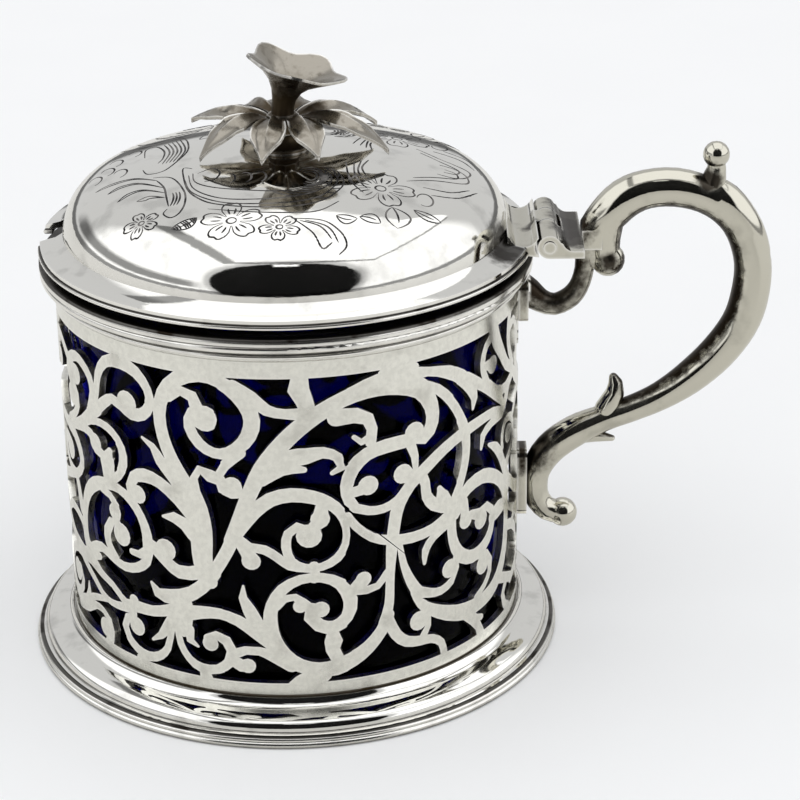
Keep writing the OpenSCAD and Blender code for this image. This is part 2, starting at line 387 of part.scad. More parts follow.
stroke_lines = [for (s = strokes) smooth_line(s, stroke_step)];
stroke_sides = [for (l = stroke_lines) stroke_edges(l)];
draw_scale = body_r / draw_r;
rise_scale = (pierce_z1 - pierce_z0) / (draw_z1 - draw_z0);
// The saw grows with the drawing, so that the same slits stay closed at any size
saw_grown = saw_r * max(1, draw_scale, rise_scale);
// Cuts of neighbouring sectors meet just outside the sheet
saw_r_out = body_r + 0.3;

// One stroke of the scrollwork in a sector's plane
module stroke(k, a) {
    line = stroke_lines[k];
    sides = stroke_sides[k];
    for (i = [0:len(line) - 2])
        polygon([in_sector(sides[i][0], a), in_sector(sides[i + 1][0], a),
            in_sector(sides[i + 1][1], a), in_sector(sides[i][1], a)]);
    for (p = [line[0], line[len(line) - 1]])
        translate(in_sector(p, a))
            circle(max(p[2], 0.1) / 2 * draw_scale, $fn = 12);
}

// All metal of the scrollwork that falls in one sector
module sector_metal(a, reach) {
    for (half = [-360, -180, 0, 180]) {
        b = a + half;
        for (k = [0:len(strokes) - 1]) {
            turns = [for (p = strokes[k]) turn(p[0]) - b];
            if (max(turns) > -reach && min(turns) < reach)
                stroke(k, b);
        }
        for (e = eyes)
            if (abs(turn(e[0]) - b) < reach)
                translate(in_sector(e, b))
                    circle(e[2] * draw_scale, $fn = 14);
    }
    if (a == 90)
        for (span = [upper_pad_span, lower_pad_span])
            translate([-pad_w / 2 - 0.6, handle_z(span[0]) - 0.6])
                square([pad_w + 1.2, handle_z(span[1]) - handle_z(span[0]) + 1.2]);
}

// Saw cuts of one sector, drawn in its plane, with the plain bands a hair wider by lap
module sector_cuts(a, lap) {
    reach = 180 / sectors + 0.4;
    half_w = saw_r_out * sin(reach);
    offset(delta = saw_grown)
        offset(delta = -saw_grown)
            difference() {
                translate([-half_w, pierce_z0 + lap])
                    square([2 * half_w, pierce_z1 - pierce_z0 - 2 * lap]);
                sector_metal(a, reach + 8);
            }
}

// Part of the drum's sheet from z0 to z1 over an angle, thinner by t on both faces
module sheet(z0, z1, angle, t) {
    rotate_extrude(angle = angle)
        translate([drum_in_r + t, z0])
            square([drum_wall - 2 * t, z1 - z0]);
}

// The plain bands are full rings. Between them every other sector is a hair thinner and laps its neighbours
module drum_sheet() {
    sector = 360 / sectors;
    sheet(foot_h, pierce_z0 - 0.3, 360, 0);
    sheet(pierce_z1 + 0.3, drum_top, 360, 0);
    for (k = [0:2:sectors - 1]) {
        rotate((k - 0.5) * sector - 90)
            sheet(pierce_z0 - 0.4, pierce_z1 + 0.4, sector, hair);
        rotate((k + 0.5) * sector - 90 - 0.05)
            sheet(pierce_z0 - 0.4, pierce_z1 + 0.4, sector + 0.1, 2 * hair);
    }
}

module pierced_drum() {
    color(silver)
    difference() {
        union() {
            drum_sheet();
        }
        for (k = [0:sectors - 1])
            rotate([90, 0, k * 360 / sectors])
                translate([0, 0, body_r - 3])
                    linear_extrude(4)
                        sector_cuts(k * 360 / sectors, k % 2 == 0 ? 0 : hair);
    }
}

// Points on an arc about c from angle a0 to a1
function arc(c, r, a0, a1, n) = [for (i = [0:n])
    let (a = a0 + (a1 - a0) * i / n)
    [c[0] + r * cos(a), c[1] + r * sin(a)]];

module foot_ring() {
    hollow_r = foot_ring_r - foot_wall - 0.3;
    ovolo = foot_h - 3;
    color(silver)
    rotate_extrude()
        polygon(concat(
            [[hollow_r, 0], [foot_ring_r, 0], [foot_ring_r, 1.5], [foot_ring_r - 0.35, 1.6]],
            arc([foot_ring_r - 0.35 - ovolo - 0.7, 1.9], ovolo, 0, 70, 8) + [for (i = [0:8]) [0.7, 0]],
            [[body_r + 1.9, foot_h - 0.85]],
            arc([body_r + 1.7, foot_h + 0.65], 1.45, 262, 196, 6),
            [[body_r + 0.15, foot_h], [drum_in_r, foot_h], [drum_in_r, foot_h - base_t],
            [drum_in_r - 2, foot_h - base_t], [drum_in_r - 2, foot_h - base_t - foot_wall],
            [body_r + 1, foot_h - base_t - foot_wall], [hollow_r, 1.2]]));
}

module foot_wire() {
    low_r = 0.47 * foot_wire_w;
    top_r = 0.38 * foot_wire_w;
    top_x = foot_r - 0.61 * foot_wire_w;
    top_z = 1.17 * foot_wire_w;
    color(silver)
    rotate_extrude()
        polygon(concat([[foot_ring_r, 0]], arc([foot_r - low_r, low_r], low_r, -90, 55, 8),
            arc([top_x, top_z], top_r, -40, 90, 8), [[foot_ring_r, top_z + top_r]]));
}

module base_plate() {
    color(silver)
    translate([0, 0, foot_h - base_t])
        cylinder(h = base_t, r = drum_in_r);
}

module rim_moulding() {
    color(silver)
    rotate_extrude() {
        polygon([[drum_in_r, drum_top], [body_r + 0.3, drum_top], [body_r + 0.55, drum_top + 0.35],
            [body_r + 0.6, drum_top + 1.2], [rim_r - 0.7, drum_top + 1.6], [rim_r - 0.5, rim_top - 1.05],
            [rim_r, rim_top - 0.9], [rim_r, rim_top - 0.15], [rim_r - 0.15, rim_top], [drum_in_r, rim_top]]);
        translate([body_r + 0.65, drum_top + 0.75])
            circle(0.3);
        translate([rim_r - 0.55, drum_top + 1.95])
            circle(0.5);
    }
}

// Outline of the dome, moved in by w, down to height z
module dome_half(w, z) {
    join_x = crown_x * (crown_r - w) / (crown_r - shoulder_r);
    intersection() {
        translate([0, apex_z - crown_r])
            circle(crown_r - w, $fn = 400);
        translate([0, z])
            square([join_x, dome_r]);
    }
    intersection() {
        translate([crown_x, dome_z])
            circle(shoulder_r - w);
        translate([join_x - 0.001, dome_z])
            square([dome_r, dome_r]);
    }
    translate([0, z])
        square([dome_r - w, dome_z - z]);
}

// Places where the lid is cut away: the hinge's bed and the spoon's opening
module lid_cuts() {
    bed_h = 5.3;
    notch_in = 2;
    translate([leaf_x, -hinge_len / 2, lid_z - 1])
        cube([rim_r, hinge_len, bed_h]);
    translate([-2 * dome_r, 0, lid_z])
        rotate([90, 0, 90])
            linear_extrude(dome_r + notch_in) {
                translate([-notch_w / 2, -1])
                    square([notch_w, notch_h]);
                translate([0, notch_h - 1])
                    intersection() {
                        circle(notch_w / 2);
                        translate([-notch_w / 2, 0])
                            square([notch_w, 0.8]);
                    }
            }
}

module lid_dome() {
    color(silver)
    difference() {
        union() {
            rotate_extrude()
                difference() {
                    dome_half(0, flange_z + 0.7);
                    translate([0, -1])
                        dome_half(lid_wall, flange_z + 0.7);
                    dome_half(lid_wall, flange_z + 0.7);
                }
            rotate_extrude()
                polygon([[dome_r - lid_wall, flange_z + 0.7], [dome_r - lid_wall, dome_z],
                    [dome_r - 0.05, dome_z + 0.5], [dome_r + 0.9, dome_z - 0.1],
                    [dome_r + 1.9, flange_z + 0.85], [lid_r, flange_z + 0.55], [lid_r, flange_z],
                    [lid_r - 0.8, flange_z]]);
        }
        lid_cuts();
        translate([-boss_r - 1, -boss_r - 1, seat_z])
            cube(2 * boss_r + 2);
    }
}

module lid_wire() {
    color(silver)
    difference() {
        rotate_extrude() {
            translate([lid_r - 0.8, lid_z])
                square([0.8, wire_h]);
            translate([lid_r, lid_z + wire_h / 2])
                circle(wire_h / 2);
        }
        lid_cuts();
    }
}

// Cylinder along the hinge's axis from y0 to y1
module along_hinge(r, y0, y1) {
    translate([hinge_x, y1, hinge_z])
        rotate([90, 0, 0])
            cylinder(h = y1 - y0, r = r);
}

// Profile in X and Z drawn out along the hinge
module drawn_leaf(points) {
    translate([0, hinge_len / 2, 0])
        rotate([90, 0, 0])
            linear_extrude(hinge_len)
                polygon(points);
}

module hinge_plate() {
    low = hinge_z - barrel_r;
    color(silver)
    difference() {
        union() {
            drawn_leaf(concat([[hinge_x, low], [plate_x, low], [plate_x, low + plate_t]],
                arc([hinge_x + 0.7 * plate_len, hinge_z + plate_t], barrel_r, 270, 200, 6),
                [[hinge_x, hinge_z + barrel_r]]));
            along_hinge(barrel_r, -hinge_len / 2, hinge_len / 2);
        }
        along_hinge(hinge_free_r, knuckle_y[1] - knuckle_gap, knuckle_y[2] + knuckle_gap);
        along_hinge(pin_r, -hinge_len, hinge_len);
    }
}

module lid_hinge_plate() {
    low = lid_z + 0.5;
    color(silver)
    difference() {
        union() {
            drawn_leaf(concat([[leaf_x, low], [hinge_x, hinge_z - barrel_r], [hinge_x, hinge_z + barrel_r]],
                [[hinge_x - 1.2, hinge_z + 1.15]], arc([leaf_x + 2, low + 2.6], 1.85, 340, 200, 10),
                [[leaf_x, low + 2.2]]));
            along_hinge(barrel_r, knuckle_y[1], knuckle_y[2]);
        }
        along_hinge(hinge_free_r, -hinge_len, knuckle_y[1]);
        along_hinge(hinge_free_r, knuckle_y[2], hinge_len);
        along_hinge(pin_r + pin_clear, -hinge_len, hinge_len);
    }
}

module hinge_pin() {
    color(silver)
    along_hinge(pin_r, -hinge_len / 2 - 0.2, hinge_len / 2 + 0.2);
}

// Handle from the hinge's axis, drawn for this reach, thickness and drum: [distance out, height, radius]
drawn_out = 28.9;
drawn_d = 5.2;
drawn_drum_h = 45.7;
// The great scroll, from the hinge over the top and down to the lower curl
scroll_path = [[5.4, -1.2, 2], [7.6, 1.5, 2.5], [9.9, 3.8, 2.6], [12.7, 5, 2.5], [16.3, 5.2, 2.5],
    [20, 4.2, 2.4], [23, 2.15, 2.3], [25.1, -0.7, 2.25], [26.5, -5, 2.4], [26.3, -9.6, 2.5],
    [25.1, -13.6, 2.45], [22.4, -17.6, 2.4], [18.8, -21.1, 2.2], [15.2, -23.6, 1.9], [11.6, -25.3, 1.75],
    [7.8, -26.7, 1.8], [4.2, -28.4, 2.1], [0.8, -31, 2.1], [-1, -34.2, 1.9], [-1, -37.6, 1.7],
    [0.5, -39.8, 1.6], [2.4, -40.3, 1.6]];
// The thin stem from the hinge's end down to the drum
stem_path = [[4.8, -1, 1.7], [5, -4.6, 1.3], [4.5, -7.4, 1.3], [3.3, -9.4, 1.4], [1.2, -10.5, 1.45],
    [-0.6, -10, 1.55], [-2.1, -8.9, 1.9], [-3.6, -8, 2.2]];
// The tongue laid over the scroll's shoulder, from the thumb ball's neck outwards
tongue_path = [[20.4, 5, 1.7], [21.8, 4.1, 2.2], [23.4, 2.6, 2.3], [25.5, -0.5, 2.2], [26.8, -3.7, 1.95],
    [27.4, -5.8, 1.4], [28, -7, 0.85]];
// Small horns and necks cast with the scroll, and the buds at their ends
horns = [[[7.6, 1, 2.3], [7.4, -1.4, 2.1], [7.5, -3.4, 1.9]], [[5.6, -1.4, 1.6], [6, -4.4, 1.3]],
    [[21, 5.6, 1.7], [21.4, 7.6, 1.2], [21.3, 8.7, 1.1]],
    [[8.2, -25.4, 1.6], [9.2, -23.2, 1.25], [9.3, -21.8, 0.95], [9, -20.9, 0.6]],
    [[4.3, -28.9, 1.35], [6.8, -29.2, 0.85], [9, -29.6, 0.4]]];
buds = [[7.9, -4.4, 2.2], [21.3, 9.5, 1.7], [2.6, -40.3, 1.95]];
upper_pad_span = [-12.4, -6.8];
lower_pad_span = [-40, -30.4];

// The scroll grows with its reach, and below the upper pad it stretches with the drum
handle_stout = handle_d / drawn_d;
handle_grown = handle_out / drawn_out;
bend_from = upper_pad_span[0];
drawn_low = lower_pad_span[0];
handle_stretch = (drawn_low * drum_h / drawn_drum_h - bend_from * handle_grown) / (drawn_low - bend_from);
function handle_x(d) = hinge_x + d * handle_grown;
function handle_z(d) = hinge_z + max(d, bend_from) * handle_grown + min(0, d - bend_from) * handle_stretch;
pad_x = body_r + pad_t;

// Solid of round section along a line of [x, z, radius], with flat ends
module swept(line, sides) {
    n = len(line);
    rings = [for (i = [0:n - 1], k = [0:sides - 1])
        let (d = direction(line, i), a = 360 * k / sides, r = line[i][2])
        [line[i][0] - d[1] * r * cos(a), r * sin(a), line[i][1] + d[0] * r * cos(a)]];
    polyhedron(rings, concat(
        [[for (k = [0:sides - 1]) sides - 1 - k]],
        [[for (k = [0:sides - 1]) (n - 1) * sides + k]],
        [for (i = [0:n - 2], k = [0:sides - 1])
            let (a = i * sides + k, b = i * sides + (k + 1) % sides)
            [a, b, b + sides, a + sides]]));
}

// A path of the handle in place
function placed(path) = [for (p = path) [handle_x(p[0]), handle_z(p[1]), p[2] * handle_stout]];

// Sphere of the handle in place
module bud(p) {
    translate([handle_x(p[0]), 0, handle_z(p[1])])
        sphere(p[2] * handle_stout, $fn = 20);
}

module handle() {
    head_w = 4.2 * handle_stout;
    head_h = 2.6 * handle_stout;
    color(silver)
    difference() {
        union() {
            swept(smooth_line(placed(scroll_path), 1.3), 16);
            swept(smooth_line(placed(stem_path), 1), 14);
            swept(smooth_line(placed(tongue_path), 1.3), 16);
            translate([plate_x, -head_w / 2, hinge_z - 0.92 * head_h])
                cube([head_h, head_w, head_h]);
            for (b = buds)
                bud(b);
            for (h = horns)
                for (i = [0:len(h) - 2])
                    hull() {
                        bud(h[i]);
                        bud(h[i + 1]);
                    }
        }
        translate([pad_x - 20, -10, 0])
            cube([20, 20, hinge_z - 3]);
        translate([plate_x - 20, -10, hinge_z - barrel_r])
            cube([20, 20, 10]);
    }
}

// Pad between the drum and the handle, over a span of the drawn handle's heights
module pad(span) {
    low = handle_z(span[0]);
    tall = handle_z(span[1]) - low;
    corner = 0.285 * pad_w;
    color(silver)
    difference() {
        translate([pad_x, 0, low])
            rotate([90, 0, -90])
                linear_extrude(pad_t + 2) {
                    translate([-pad_w / 2, corner])
                        square([pad_w, tall - 2 * corner]);
                    translate([corner - pad_w / 2, 0])
                        square([pad_w - 2 * corner, tall]);
                    for (side = [-1, 1], z = [corner, tall - corner])
                        translate([side * (pad_w / 2 - corner), z])
                            circle(corner);
                }
        cylinder(h = lid_z, r = body_r);
    }
}

module upper_pad() {
    pad(upper_pad_span);
}

module lower_pad() {
    pad(lower_pad_span);
}

module finial_boss() {
    neck_z = boss_z - 1.9;
    neck_lap = 0.3;
    color(dark_silver)
    union() {
        rotate_extrude()
            polygon(concat([[0, seat_z], [boss_r, seat_z], [boss_r, apex_z + 0.4]],
                arc([boss_r + 0.3, apex_z + 1.9], 1.5, 265, 180, 6), [[1.6, neck_z], [0, neck_z]]));
        translate([0, 0, neck_z - neck_lap])
            rotate(leaf_turn + 22.5)
                cylinder(h = boss_z - neck_z + neck_lap, r = boss_flat / cos(22.5), $fn = 8);
    }
}

// Rings of the flower, outside then inside: [share of radius, share of height, depth of the lobes]
flower_rings = [[0.24, 0, 0], [0.23, 0.16, 0], [0.25, 0.32, 0], [0.32, 0.5, 0], [0.45, 0.66, 0.02],
    [0.66, 0.81, 0.04], [0.88, 0.93, 0.07], [1, 1, 0.1], [0.99, 1.05, 0.1], [0.84, 0.98, 0.09],
    [0.6, 0.86, 0.06], [0.4, 0.72, 0.03], [0.24, 0.58, 0], [0.12, 0.5, 0]];

// Point k of a flower ring, leaning over with height
function petal_point(ring, k, n) =
    let (a = 360 * k / n, lobe = ring[2] * cos(5 * a + 60), r = flower_r * ring[0] * (1 + lobe),
        h = flower_h * (ring[1] + 0.45 * lobe), lean = flower_tilt * min(1, ring[1] * 1.3))
    [r * cos(a) * cos(lean) + h * sin(lean), r * sin(a), boss_z + h * cos(lean) - r * cos(a) * sin(lean)];

module finial_flower() {
    n = 40;
    m = len(flower_rings);
    color(dark_silver)
    polyhedron([for (ring = flower_rings, k = [0:n - 1]) petal_point(ring, k, n)], concat(
        [[for (k = [0:n - 1]) k]],
        [[for (k = [0:n - 1]) (m - 1) * n + n - 1 - k]],
        [for (i = [0:m - 2], k = [0:n - 1])
            [i * n + k, (i + 1) * n + k, (i + 1) * n + (k + 1) % n, i * n + (k + 1) % n]]));
}

// Leaves of the finial, anticlockwise from the right of the front: [length, drop of the tip, arch]
leaf_forms = [[11.6, 2.7, 1.6], [10, 2.8, 1.5], [10, 2.8, 1.5], [10.2, 0.9, 1.2], [9.8, 3.2, 1.9],
    [7.2, 2.7, 1.9], [7.4, 2.5, 1.9], [11.8, 3.2, 1.8]];
leaf_steps = 12;
leaf_side = 4;
leaf_turn = 30;
leaf_gap = 0.12;
leaf_rib = 0.35;
leaf_curl = 0.6;

// Half width of a leaf at a share t of its length, kept clear of the leaves beside it
function leaf_half(form, t) = min((boss_flat + form[0] * t) * tan(22.5) - leaf_gap,
    max(0.16, 0.55 * (1 - t) + leaf_w / 2 * pow(sin(180 * pow(t, 0.85)), 0.8) * (1 + 0.1 * sin(1080 * t))));

// Height of a leaf's cross section at a share s of its half width: a midrib, hanging sides and a curled rim
function leaf_section(t, s) =
    let (open = sin(180 * min(1, 1.15 * t)))
    open * (leaf_rib * max(0, 1 - 4 * abs(s)) - 0.9 * pow(abs(s), 1.4) + leaf_curl * pow(abs(s), 8));

// Top of a leaf at a share t of its length and s of its half width
function leaf_top(form, t, s) =
    let (arch = form[2] * 4 * t * (1 - t) * (1 - 0.35 * t))
    [boss_flat + form[0] * t, leaf_half(form, t) * s,
        boss_z - 0.4 - form[1] * t * t + arch + leaf_section(t, s)];

module leaf(k) {
    form = leaf_forms[k - 1];
    cols = 2 * leaf_side + 1;
    count = (leaf_steps + 1) * cols;
    top = [for (i = [0:leaf_steps], j = [-leaf_side:leaf_side])
        leaf_top(form, i / leaf_steps, j / leaf_side)];
    under = [for (i = [0:leaf_steps], j = [-leaf_side:leaf_side])
        leaf_top(form, i / leaf_steps, j / leaf_side) - [0, 0, leaf_t * (1 - 0.4 * abs(j) / leaf_side)]];
    color(dark_silver)
    rotate(leaf_turn + 45 * (k - 1))
        polyhedron(concat(top, under), concat(
            [for (i = [0:leaf_steps - 1], j = [0:cols - 2])
                let (a = i * cols + j) for (f = [[a, a + 1, a + cols + 1], [a, a + cols + 1, a + cols]]) f],
            [for (i = [0:leaf_steps - 1], j = [0:cols - 2])
                let (a = count + i * cols + j)
                for (f = [[a, a + cols + 1, a + 1], [a, a + cols, a + cols + 1]]) f],
            [for (i = [0:leaf_steps - 1])
                let (a = i * cols) [a, a + cols, count + a + cols, count + a]],
            [for (i = [0:leaf_steps - 1])
                let (a = i * cols + cols - 1) [a, count + a, count + a + cols, a + cols]],
            [for (j = [0:cols - 2]) [j, count + j, count + j + 1, j + 1]],
            [for (j = [0:cols - 2])
                let (a = leaf_steps * cols + j) [a, a + 1, count + a + 1, count + a]]));
}

module glass_liner() {
    color(cobalt)
    difference() {
        translate([0, 0, foot_h])
            cylinder(h = liner_top - foot_h, r = liner_r);
        translate([0, 0, foot_h + liner_base])
            cylinder(h = liner_top, r = liner_r - liner_wall);
    }
}

foot_ring();
foot_wire();
base_plate();
pierced_drum();
rim_moulding();
upper_pad();
lower_pad();
handle();
hinge_plate();
hinge_pin();
lid_dome();
lid_wire();
lid_hinge_plate();
finial_boss();
finial_flower();
for (k = [1:8])
    leaf(k);
glass_liner();
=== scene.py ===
"""Mustard pot: looks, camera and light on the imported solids, in metres."""

import json
import math

import bpy
from mathutils import Matrix, Vector
from mathutils.bvhtree import BVHTree


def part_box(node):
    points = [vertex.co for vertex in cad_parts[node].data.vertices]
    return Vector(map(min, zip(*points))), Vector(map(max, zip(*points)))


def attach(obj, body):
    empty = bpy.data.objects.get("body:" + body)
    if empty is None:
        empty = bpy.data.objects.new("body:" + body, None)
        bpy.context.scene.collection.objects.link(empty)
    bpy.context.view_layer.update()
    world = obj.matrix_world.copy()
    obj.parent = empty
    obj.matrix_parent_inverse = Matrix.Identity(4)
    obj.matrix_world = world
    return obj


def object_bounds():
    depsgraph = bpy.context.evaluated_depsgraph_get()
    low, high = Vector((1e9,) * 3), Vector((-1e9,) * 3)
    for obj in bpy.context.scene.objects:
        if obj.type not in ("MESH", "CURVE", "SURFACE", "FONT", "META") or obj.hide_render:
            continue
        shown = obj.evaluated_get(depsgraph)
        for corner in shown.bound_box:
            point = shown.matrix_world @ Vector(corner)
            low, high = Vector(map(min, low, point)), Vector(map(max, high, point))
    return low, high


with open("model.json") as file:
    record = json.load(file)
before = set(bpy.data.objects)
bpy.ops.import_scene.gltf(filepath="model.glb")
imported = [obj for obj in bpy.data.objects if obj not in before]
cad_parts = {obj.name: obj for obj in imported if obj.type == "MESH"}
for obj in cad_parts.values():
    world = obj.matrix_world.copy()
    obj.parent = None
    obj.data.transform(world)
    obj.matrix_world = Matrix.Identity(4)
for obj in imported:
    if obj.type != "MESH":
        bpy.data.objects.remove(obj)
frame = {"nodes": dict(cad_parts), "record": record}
nodes = frame["nodes"]
cad_lo, cad_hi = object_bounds()
scene = bpy.context.scene
MM = 0.001

# Camera as read from the photograph
FOCAL_PX = 2600
IMAGE_PX = 800
SENSOR = 36
CLIP_NEAR = 0.01
CLIP_FAR = 10
DISTANCE = 341 * MM
ELEVATION = math.radians(23.6)
ROLL = math.radians(-0.65)
TARGET = Vector((14.27, 0, 31.8)) * MM

# Silver: reach, strength and colour of the painted edge highlight, reach of tarnished hollows, rays that feel
# for both
EDGE_HIGHLIGHT_REACH = 0.4 * MM
EDGE_HIGHLIGHT_STRENGTH = 0.75
EDGE_HIGHLIGHT_COLOUR = (0.97, 0.96, 0.93, 1)
HOLLOW_REACH = 2.5 * MM
OPEN_RAYS = 5

# Silver: soft end of darkened lines, darkness of lines and spots, roughness of tarnish and painted shade,
# start of the bend
LINE_SOFT = 0.1 * MM
LINE_DARK = 0.88
SPOT_DARK = 0.95
STAIN_AND_SHADE_ROUGH = 0.25
BEND_FROM = (39.5 * MM, 42 * MM)

# Silver: how ragged the painted shade on what faces down ends, and the darkening in spots and in the handle's
# bend
UNDER_RAGGED = 0.5
SPOT_RAGGED = 0.7
BEND_RAGGED = 1.1

# Silver: where each change begins and ends, in the value that drives it
HOLLOW_RANGE = (0.3, 0.8)
EDGE_RANGE = (0.45, 0.95)
PATCH_RANGE = (0.52, 0.72)
UNDER_RANGE = (-0.2, 0.75)
SPOT_RANGE = (0.8, 1.25)
BEND_RANGE = (-0.15, 0.35)
FLECK_RANGE = (0.35, 0.65)
SMEAR_RANGE = (0.3, 0.75)

# Silver: fineness of its uneven places, per metre
RAGGED_GRAIN = 700
FLECK_GRAIN = 1500
SMEAR_GRAIN = 120
DENT_GRAIN = 90
HAIR_GRAIN = (900, 900, 5200)

# Silver: how much hairlines and dents count, and the strength and depth of both
HAIR_SHARE = 0.2
DENT_SHARE = 0.6
SILVER_BUMP = 0.12
SILVER_DEPTH = 0.1 * MM

# Oxide in the chased lines
OXIDE_DARK = (0.012, 0.011, 0.011, 1)
OXIDE_WORN = (0.2, 0.19, 0.18, 1)
OXIDE_GRAIN = 420
OXIDE_RANGE = (0.4, 0.75)
OXIDE_ROUGH = 0.6
OXIDE_SHINE = 0.2

# Glass: its blues, its clouds, smears and waves per metre, and how rough and uneven it is
GLASS_IOR = 1.1
GLASS_DARK = (0.003, 0.003, 0.12, 1)
GLASS_PALE = (0.006, 0.006, 0.26, 1)
GLASS_CLOUDS = 40
GLASS_SMEARS = 200
GLASS_WAVES = 60
GLASS_RANGE = (0.3, 0.7)
GLASS_ROUGH = (0.03, 0.09)
GLASS_BUMP = 0.08
GLASS_DEPTH = 0.3 * MM

# Floor: half its width, its two pale tones and the tone that polished metal mirrors
FLOOR_HALF = 1.5
FLOOR_LOW = (0.925, 0.93, 0.935, 1)
FLOOR_HIGH = (0.95, 0.955, 0.96, 1)
FLOOR_MIRRORED = (0.78, 0.77, 0.74, 1)
FLOOR_GRAIN = 30
FLOOR_ROUGH = 0.45
FLOOR_SHINE = 0.3

# Room: brightness of its lit parts, of its back wall and of the backdrop beyond the floor, and its tint
ROOM_LIT = 1.35
ROOM_GREY = 0.68
BACKDROP = 0.92
ROOM_TINT = (0.985, 0.99, 1)

# Room: places on its ceiling as left, right, front, back and soft border, in heights over the pot
PANEL_FRAME = (-0.52, 0.88, -0.56, 0.94, 0.04)
PANEL = (-0.4, 0.84, -0.5, 1.0, 0.05)
FRONT_STRIP = (-0.1, 0.14, -0.7, -0.57, 0.03)
CEILING_LOWEST = 0.05

# Room: places by the direction looked in, each from where it begins to where it is full
BACK_WALL = (0.4, 0.56)
FRONT = (-0.2, -0.3)
STREAK_LOW = (0.08, 0.14)
STREAK_HIGH = (0.34, 0.24)
STREAK_SIDE = (-0.6, -0.75)
HORIZON = 0.01
HORIZON_BAND = (0.07, 0.03)

# Room: the round screen in front, as its middle, its half width and height, and its shade and edge in those
SCREEN_MIDDLE = (0.02, 0.3)
SCREEN_HALF = (0.6, 0.58)
SCREEN_SHADE = (1.25, 1.05)
SCREEN_EDGE = (1.02, 0.96)

# Room: how dark its dark places are
FRAME_DARK = 0.7
STREAK_DARK = 0.75
SHADE_DARK = 0.5
SCREEN_DARK = 0.99
HORIZON_DARK = 0.75

# Soft light on what isn't polished: its level, its rise to the top, its fall to the back and its least value
SKY_LEVEL = 0.2
SKY_RISE = 1.26
SKY_FALL = 0.45
SKY_LEAST = 0.1

# Smooth shading: how near points are one, and the angles in degrees from which an edge is sharp
WELD_GAP = 0.002 * MM
SHARP_ANGLE = 32
BEAD_ANGLE = 55

# Chased lines: width, its share at the tips, height over and depth in the dome, turn of the back's ornament
LINE_WIDTH = 0.4 * MM
LINE_TIP = 0.35
LINE_RAISED = 0.03 * MM
LINE_SUNK = 0.012 * MM
BACK_TURN = -12

# Chased flowers: eye, root of the petals and reach of their veins in radii, petals and veins in petal widths
FLOWER_EYE = 0.15
PETAL_ROOT = 0.28
PETAL_HALF = 0.46
PETAL_STEPS = 8
NOTCH_DEPTH = 0.14
NOTCH_WIDTH = 0.2
VEIN_FROM = 0.34
VEIN_TO = 0.66
VEIN_LEANS = (-0.16, 0.12)
VEIN_BOW = 0.4

# Chased leaves, fronds and shading: leaf's fullness, midrib's missing points, frond's lean, shading's bow
LEAF_FULLNESS = 0.8
MIDRIB_SHORT = 3
FROND_LEAN = 1.6
HATCH_BOW = 0.08

# Chased ovals: degrees between their points, and the fewest steps in one
OVAL_STEP = 12
OVAL_LEAST = 6


def make_camera():
    forward = Vector((0, math.cos(ELEVATION), -math.sin(ELEVATION)))
    up = Vector((0, math.sin(ELEVATION), math.cos(ELEVATION)))
    right = Vector((1, 0, 0))
    right_rolled = right * math.cos(ROLL) + up * math.sin(ROLL)
    up_rolled = up * math.cos(ROLL) - right * math.sin(ROLL)
    data = bpy.data.cameras.new("camera")
    data.sensor_width = SENSOR
    data.lens = SENSOR * FOCAL_PX / IMAGE_PX
    data.clip_start = CLIP_NEAR
    data.clip_end = CLIP_FAR
    cam = bpy.data.objects.new("camera", data)
    turn = Matrix((right_rolled, up_rolled, -forward)).transposed()
    cam.matrix_world = Matrix.Translation(TARGET - forward * DISTANCE) @ turn.to_4x4()
    scene.collection.objects.link(cam)
    scene.camera = cam


